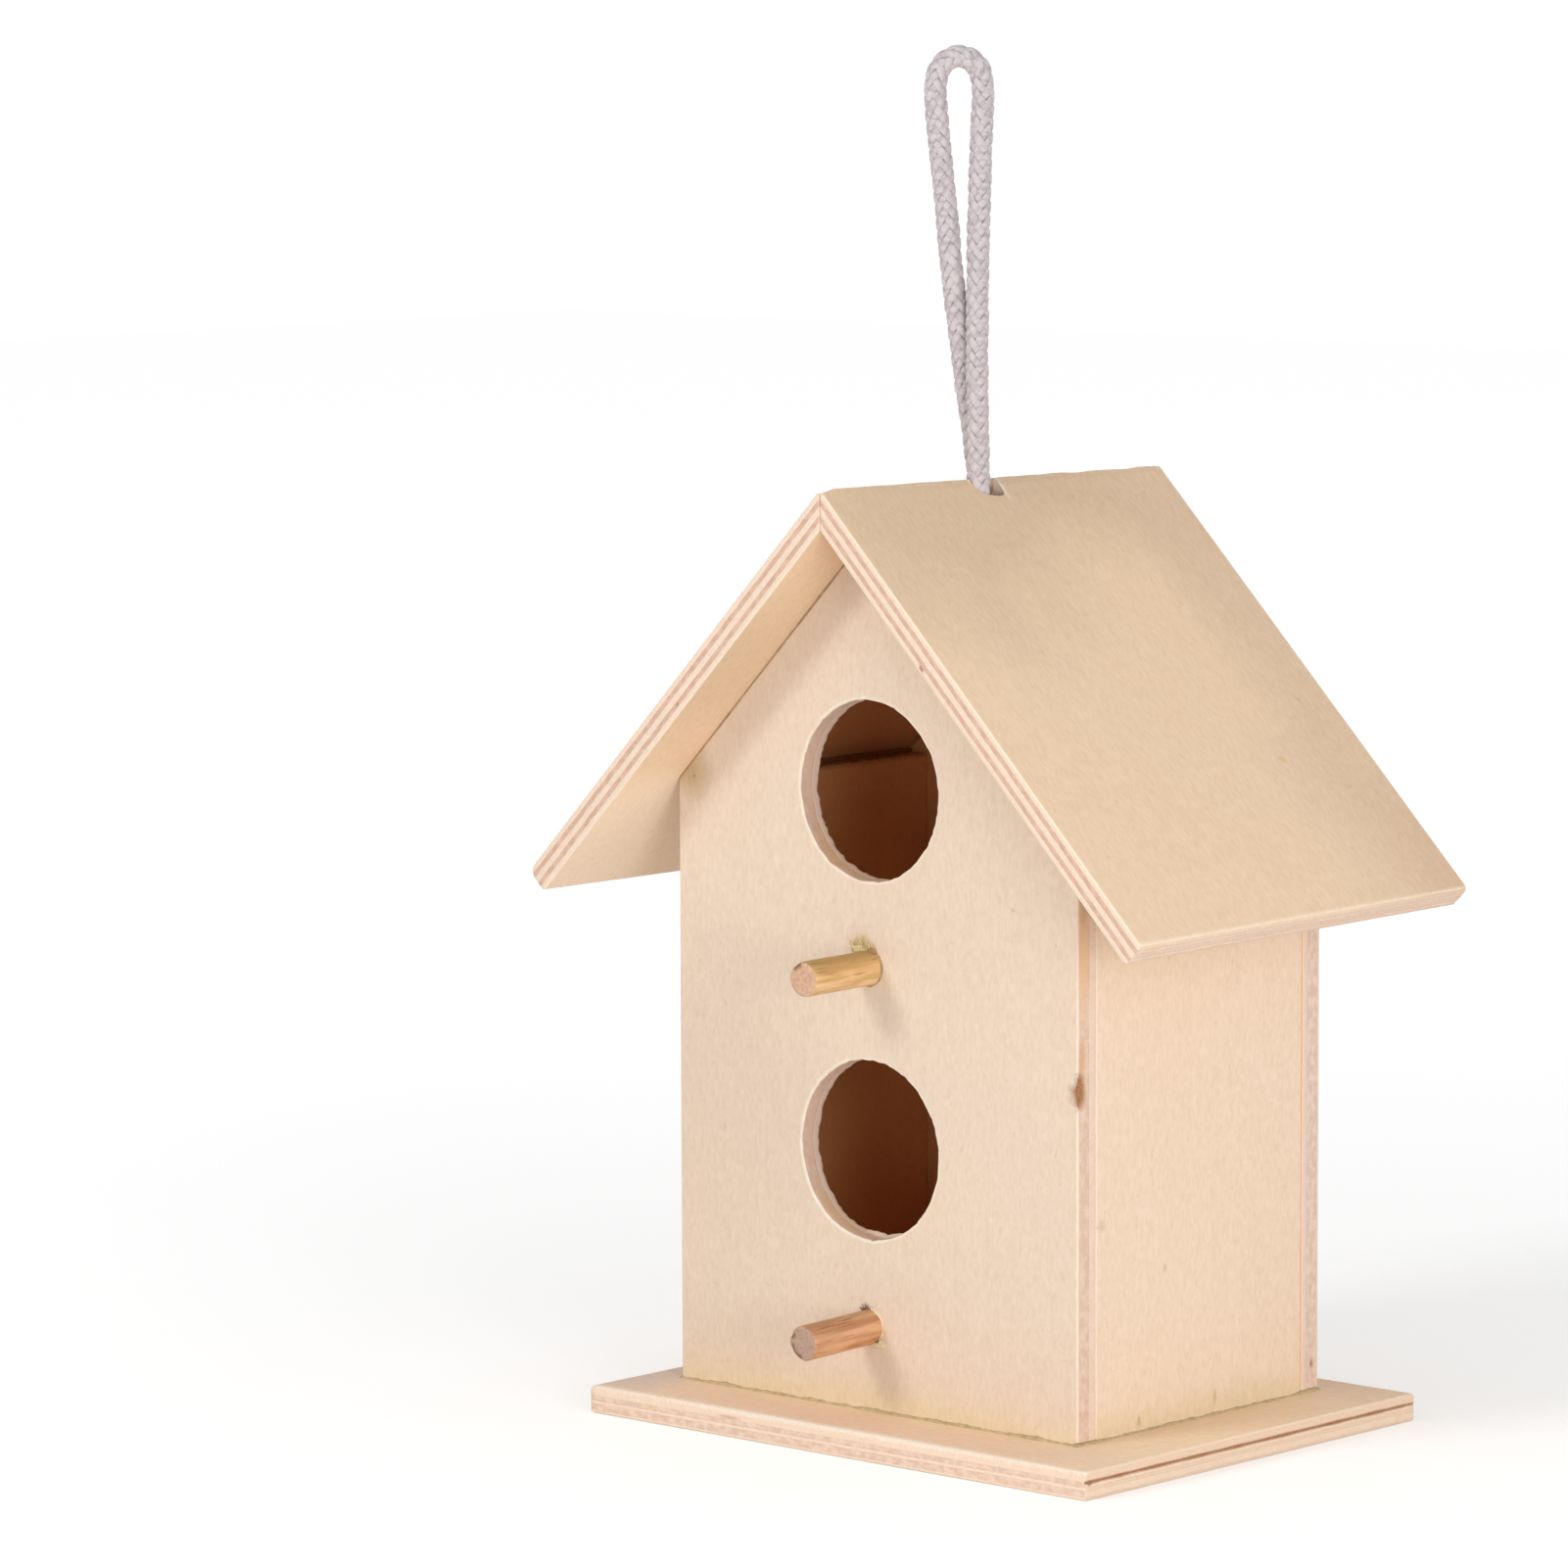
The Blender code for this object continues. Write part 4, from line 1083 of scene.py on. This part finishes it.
# Knot: under the ridge one end of the cord takes two turns round the other and is drawn tight, which stops
# both strands from pulling out. Two short tails are left below it.
wrap_radius, wrap_turns, wrap_steps = 3.95 * mm, 2.0, 20
wrap_top, wrap_foot = knot_top - 3.6 * mm, knot_top - 10.6 * mm
tail_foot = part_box("cord_knot")[0].z
front_foot, rear_foot = whole_route[0], whole_route[-1]
middle = Vector((cord_exit.x, cord_exit.y, 0))
start_angle = math.atan2((front_foot - middle).y, (front_foot - middle).x)
wrapping = [front_foot.copy()]
for step in range(wrap_steps + 1):
    share = step / wrap_steps
    angle = start_angle + 2 * math.pi * wrap_turns * share
    radius = wrap_radius * min(1.0, 0.62 + share * 3)
    height = wrap_top + (wrap_foot - wrap_top) * share
    wrapping.append(middle + Vector((radius * math.cos(angle), radius * math.sin(angle), height)))
tail_side = Vector((math.cos(start_angle), math.sin(start_angle), 0))
straight_end = [rear_foot.copy()]
for strand, out, height in ((wrapping, 3.6, wrap_foot - 3.5 * mm), (wrapping, 4.2, tail_foot + 0.4 * mm),
                            (straight_end, -0.9, wrap_top + 0.6 * mm),
                            (straight_end, 0.0, (wrap_top + wrap_foot) / 2),
                            (straight_end, -0.4, wrap_foot),
                            (straight_end, -2.2, tail_foot + 0.2 * mm)):
    strand.append(middle + tail_side * out * mm + Vector((0, 0, height)))
knot = braided("cord_knot_tied", [wrapping, straight_end], 9)
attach(knot, "house")
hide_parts("cord_knot")

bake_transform(cord)
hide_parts("hanging_loop", "cord_neck_front", "cord_neck_rear")

# Glue and filler: an uneven line of wood glue along the foot of the walls, and a sealed crack where the
# roof boards lie on the gables and the side walls. The crack's filler is brown partly as painted shade, and
# the filler on the side walls' tops is dark brown as painted shade inside the house.
crack_step = 0.9 * mm
crack_below, crack_above = -0.4 * mm, 0.75 * mm


def way_round(corners, level):
    """Places along a closed outline at one height, each with its way outward and upward."""
    path = []
    for index, start in enumerate(corners):
        end, before = corners[(index + 1) % len(corners)], corners[index - 1]
        outward, outward_before = [Vector((way.y, -way.x, 0)) for way in
                                   ((end - start).normalized(), (start - before).normalized())]
        steps = round((end - start).length / edge_step)
        for step in range(steps):
            place = start.lerp(end, step / steps)
            facing = outward if step else outward + outward_before
            path.append((Vector((place.x, place.y, level)), facing, Vector((0, 0, 1))))
    return path


def sealed_crack(name, start, end, outward, across, inward, seed, filler):
    """Filler in the crack between two boards, from just behind their outer faces to a depth behind them."""
    shape = bmesh.new()
    start, end = Vector(start), Vector(end)
    steps = round((end - start).length / crack_step)
    rings = []
    for step in range(steps + 1):
        place = start.lerp(end, step / steps)
        spot = place / mm + Vector((seed, 0, 0))
        recess = (0.08 + 0.26 * noise.noise(spot * 0.05) + 0.06 * noise.noise(spot * 0.4)) * mm
        near, far = place - outward * max(recess, 0.02 * mm), place - outward * inward
        rings.append([shape.verts.new(corner + across * rise) for corner, rise in
                      ((near, crack_below), (near, crack_above), (far, crack_above), (far, crack_below))])
    skin(shape, rings, smooth=False)
    shape.faces.new(rings[0][::-1])
    shape.faces.new(rings[-1])
    bmesh.ops.recalc_face_normals(shape, faces=shape.faces[:])
    built(name, shape, filler)


foot_finish = glue_finish("dried_foot_glue", (0.62, 0.47, 0.27), (0.47, 0.34, 0.17))
# partly painted shade: the crack's filler is coloured as the crack's shade
crack_filler_and_shade = glue_finish("crack_filler_and_shade", (0.54, 0.36, 0.22), (0.38, 0.24, 0.14))
# painted shade: the dark filler on the side walls' tops
wall_top_shade_filler = glue_finish("wall_top_shade_filler", (0.34, 0.14, 0.055), (0.30, 0.12, 0.045))
wall_feet = [Vector((wall_low.x, wall_low.y)), Vector((wall_high.x, wall_low.y)),
             Vector((wall_high.x, back_high.y)), Vector((wall_low.x, back_high.y))]
glue_bead("wall_foot_glue", way_round(wall_feet, base_high.z), foot_finish, 2.0, most=0.8, least=0.3)
shoulder_z, gable_z = wall_low.z + shoulder_rise, wall_high.z
middle_x = (wall_low.x + wall_high.x) / 2
gable_depth, wall_top_depth = 3.4 * mm, 1.2 * mm
hands = (("left", wall_low.x, -1), ("right", wall_high.x, 1))
for place, board_face, facing_way in (("front", wall_low.y, -1), ("back", back_high.y, 1)):
    for hand, side_x, side in hands:
        upward = Vector((side * math.sin(roof_pitch), 0, math.cos(roof_pitch)))
        sealed_crack(f"{place}_{hand}_crack_filler",
                     (side_x, board_face, shoulder_z), (middle_x, board_face, gable_z),
                     Vector((0, facing_way, 0)), upward, gable_depth, 2.0 + side, crack_filler_and_shade)
for hand, side_x, side in hands:
    sealed_crack(f"{hand}_wall_top_filler",
                 (side_x, wall_high.y, shoulder_z), (side_x, back_low.y, shoulder_z),
                 Vector((side, 0, 0)), Vector((0, 0, 1)), wall_top_depth, 5.0 + side, wall_top_shade_filler)

# Floor: a plain pale studio floor that keeps the house's shadow. Seen directly it glows a little, more
# the farther it lies from the house, so that it fades into a white background.
floor_reach = 3.0
floor_drop = 0.05 * mm
near_glow, far_glow = 0.29, 0.52
glow_from, glow_to = 0.14, 0.75


def looked_at(tree):
    """One for rays straight from the camera, off a gloss or through glass, and nought for all others."""
    ray = tree.nodes.new("ShaderNodeLightPath")
    seen = ray.outputs["Is Camera Ray"]
    for kind in ("Is Glossy Ray", "Is Transmission Ray"):
        larger = tree.nodes.new("ShaderNodeMath")
        larger.operation = "MAXIMUM"
        tree.links.new(seen, larger.inputs[0])
        tree.links.new(ray.outputs[kind], larger.inputs[1])
        seen = larger.outputs[0]
    return seen


floor_mesh = bpy.data.meshes.new("studio_floor")
floor_corners = [(x, y, 0) for x, y in ((-floor_reach, -floor_reach), (floor_reach, -floor_reach),
                                        (floor_reach, floor_reach), (-floor_reach, floor_reach))]
floor_mesh.from_pydata(floor_corners, [], [(0, 1, 2, 3)])
floor = placed("studio_floor", floor_mesh)
floor.location.z = -floor_drop
finish = Finish("pale_floor")
from_house = finish.step("VectorMath", {0: finish.step("TexCoord", {}, "Object")}, 1, operation="LENGTH")
glow = finish.spread(from_house, glow_from, glow_to, near_glow, far_glow)
for socket, value in (("Base Color", (0.90, 0.90, 0.90)), ("Roughness", 0.9), ("Specular IOR Level", 0.0),
                      ("Emission Color", (1.0, 1.0, 1.0)),
                      ("Emission Strength", finish.maths("MULTIPLY", looked_at(finish.tree), glow))):
    finish.feed(finish.shader.inputs[socket], value)
floor.data.materials.append(finish.material)

# Studio light: a white room all round, a soft lamp from the front left that throws the perches' shadows
# down to the right, two low lamps that reach under the eaves, one from the right and one overhead.
room_strength = 0.52              # as light; seen directly the room is plain white
world = bpy.data.worlds.new("white_room")
bpy.context.scene.world = world
world.use_nodes = True
room = world.node_tree
strength = room.nodes.new("ShaderNodeMapRange")
strength.inputs["To Min"].default_value = room_strength
strength.inputs["To Max"].default_value = 1.0
room.links.new(looked_at(room), strength.inputs[0])
background = room.nodes["Background"]
background.inputs["Color"].default_value = (1, 1, 1, 1)
room.links.new(strength.outputs[0], background.inputs["Strength"])
house_middle = Vector((0, 0, 0.09))


def lamp(name, towards, distance, size, power):
    """A square soft lamp that faces the middle of the house from a direction, unseen by the camera."""
    light = bpy.data.lights.new(name, "AREA")
    light.size, light.energy = size, power
    item = placed(name, light)
    direction = Vector(towards).normalized()
    item.visible_camera = False
    item.location = house_middle + direction * distance
    item.rotation_mode = "QUATERNION"
    item.rotation_quaternion = direction.to_track_quat("Z", "Y")


lamp("front_left_lamp", (-0.26, -0.86, 0.45), 1.3, 0.34, 4.6)
lamp("low_right_lamp", (0.95, -0.55, 0.02), 0.75, 0.3, 1.6)
lamp("low_front_lamp", (0.50, -0.87, -0.03), 0.8, 0.13, 0.25)
lamp("right_lamp", (0.94, -0.30, 0.22), 1.2, 0.7, 2.0)
lamp("top_lamp", (0.0, 0.0, 1.0), 1.3, 0.8, 1.2)

# Camera: a long lens a little above the house, from its right front, as in the photograph. It aims a
# little to the left of the house, which leaves the photograph's wider margin there.
camera_turn, camera_rise, camera_roll = math.radians(42.286), math.radians(6.444), math.radians(-0.213)
camera_distance = 1.2939
aim_left, aim_height = 0.03827, 0.1141
focal_share = 7388.6 / 1601       # focal length over the picture's width
sensor = 36.0
back_way = Vector((math.sin(camera_turn) * math.cos(camera_rise),
                   -math.cos(camera_turn) * math.cos(camera_rise), math.sin(camera_rise)))
right_way = Vector((math.cos(camera_turn), math.sin(camera_turn), 0))
up_way = back_way.cross(right_way)
rolled_right = right_way * math.cos(camera_roll) + up_way * math.sin(camera_roll)
rolled_up = up_way * math.cos(camera_roll) - right_way * math.sin(camera_roll)
aim = right_way * -aim_left + Vector((0, 0, aim_height))
lens = bpy.data.cameras.new("studio_camera")
lens.sensor_width, lens.lens = sensor, focal_share * sensor
lens.clip_start, lens.clip_end = 0.05, 20.0
camera = placed("studio_camera", lens)
turn = Matrix((rolled_right, rolled_up, back_way)).transposed().to_4x4()
camera.matrix_world = Matrix.Translation(aim + back_way * camera_distance) @ turn
bpy.context.scene.camera = camera
bpy.context.scene.view_settings.view_transform = "Standard"
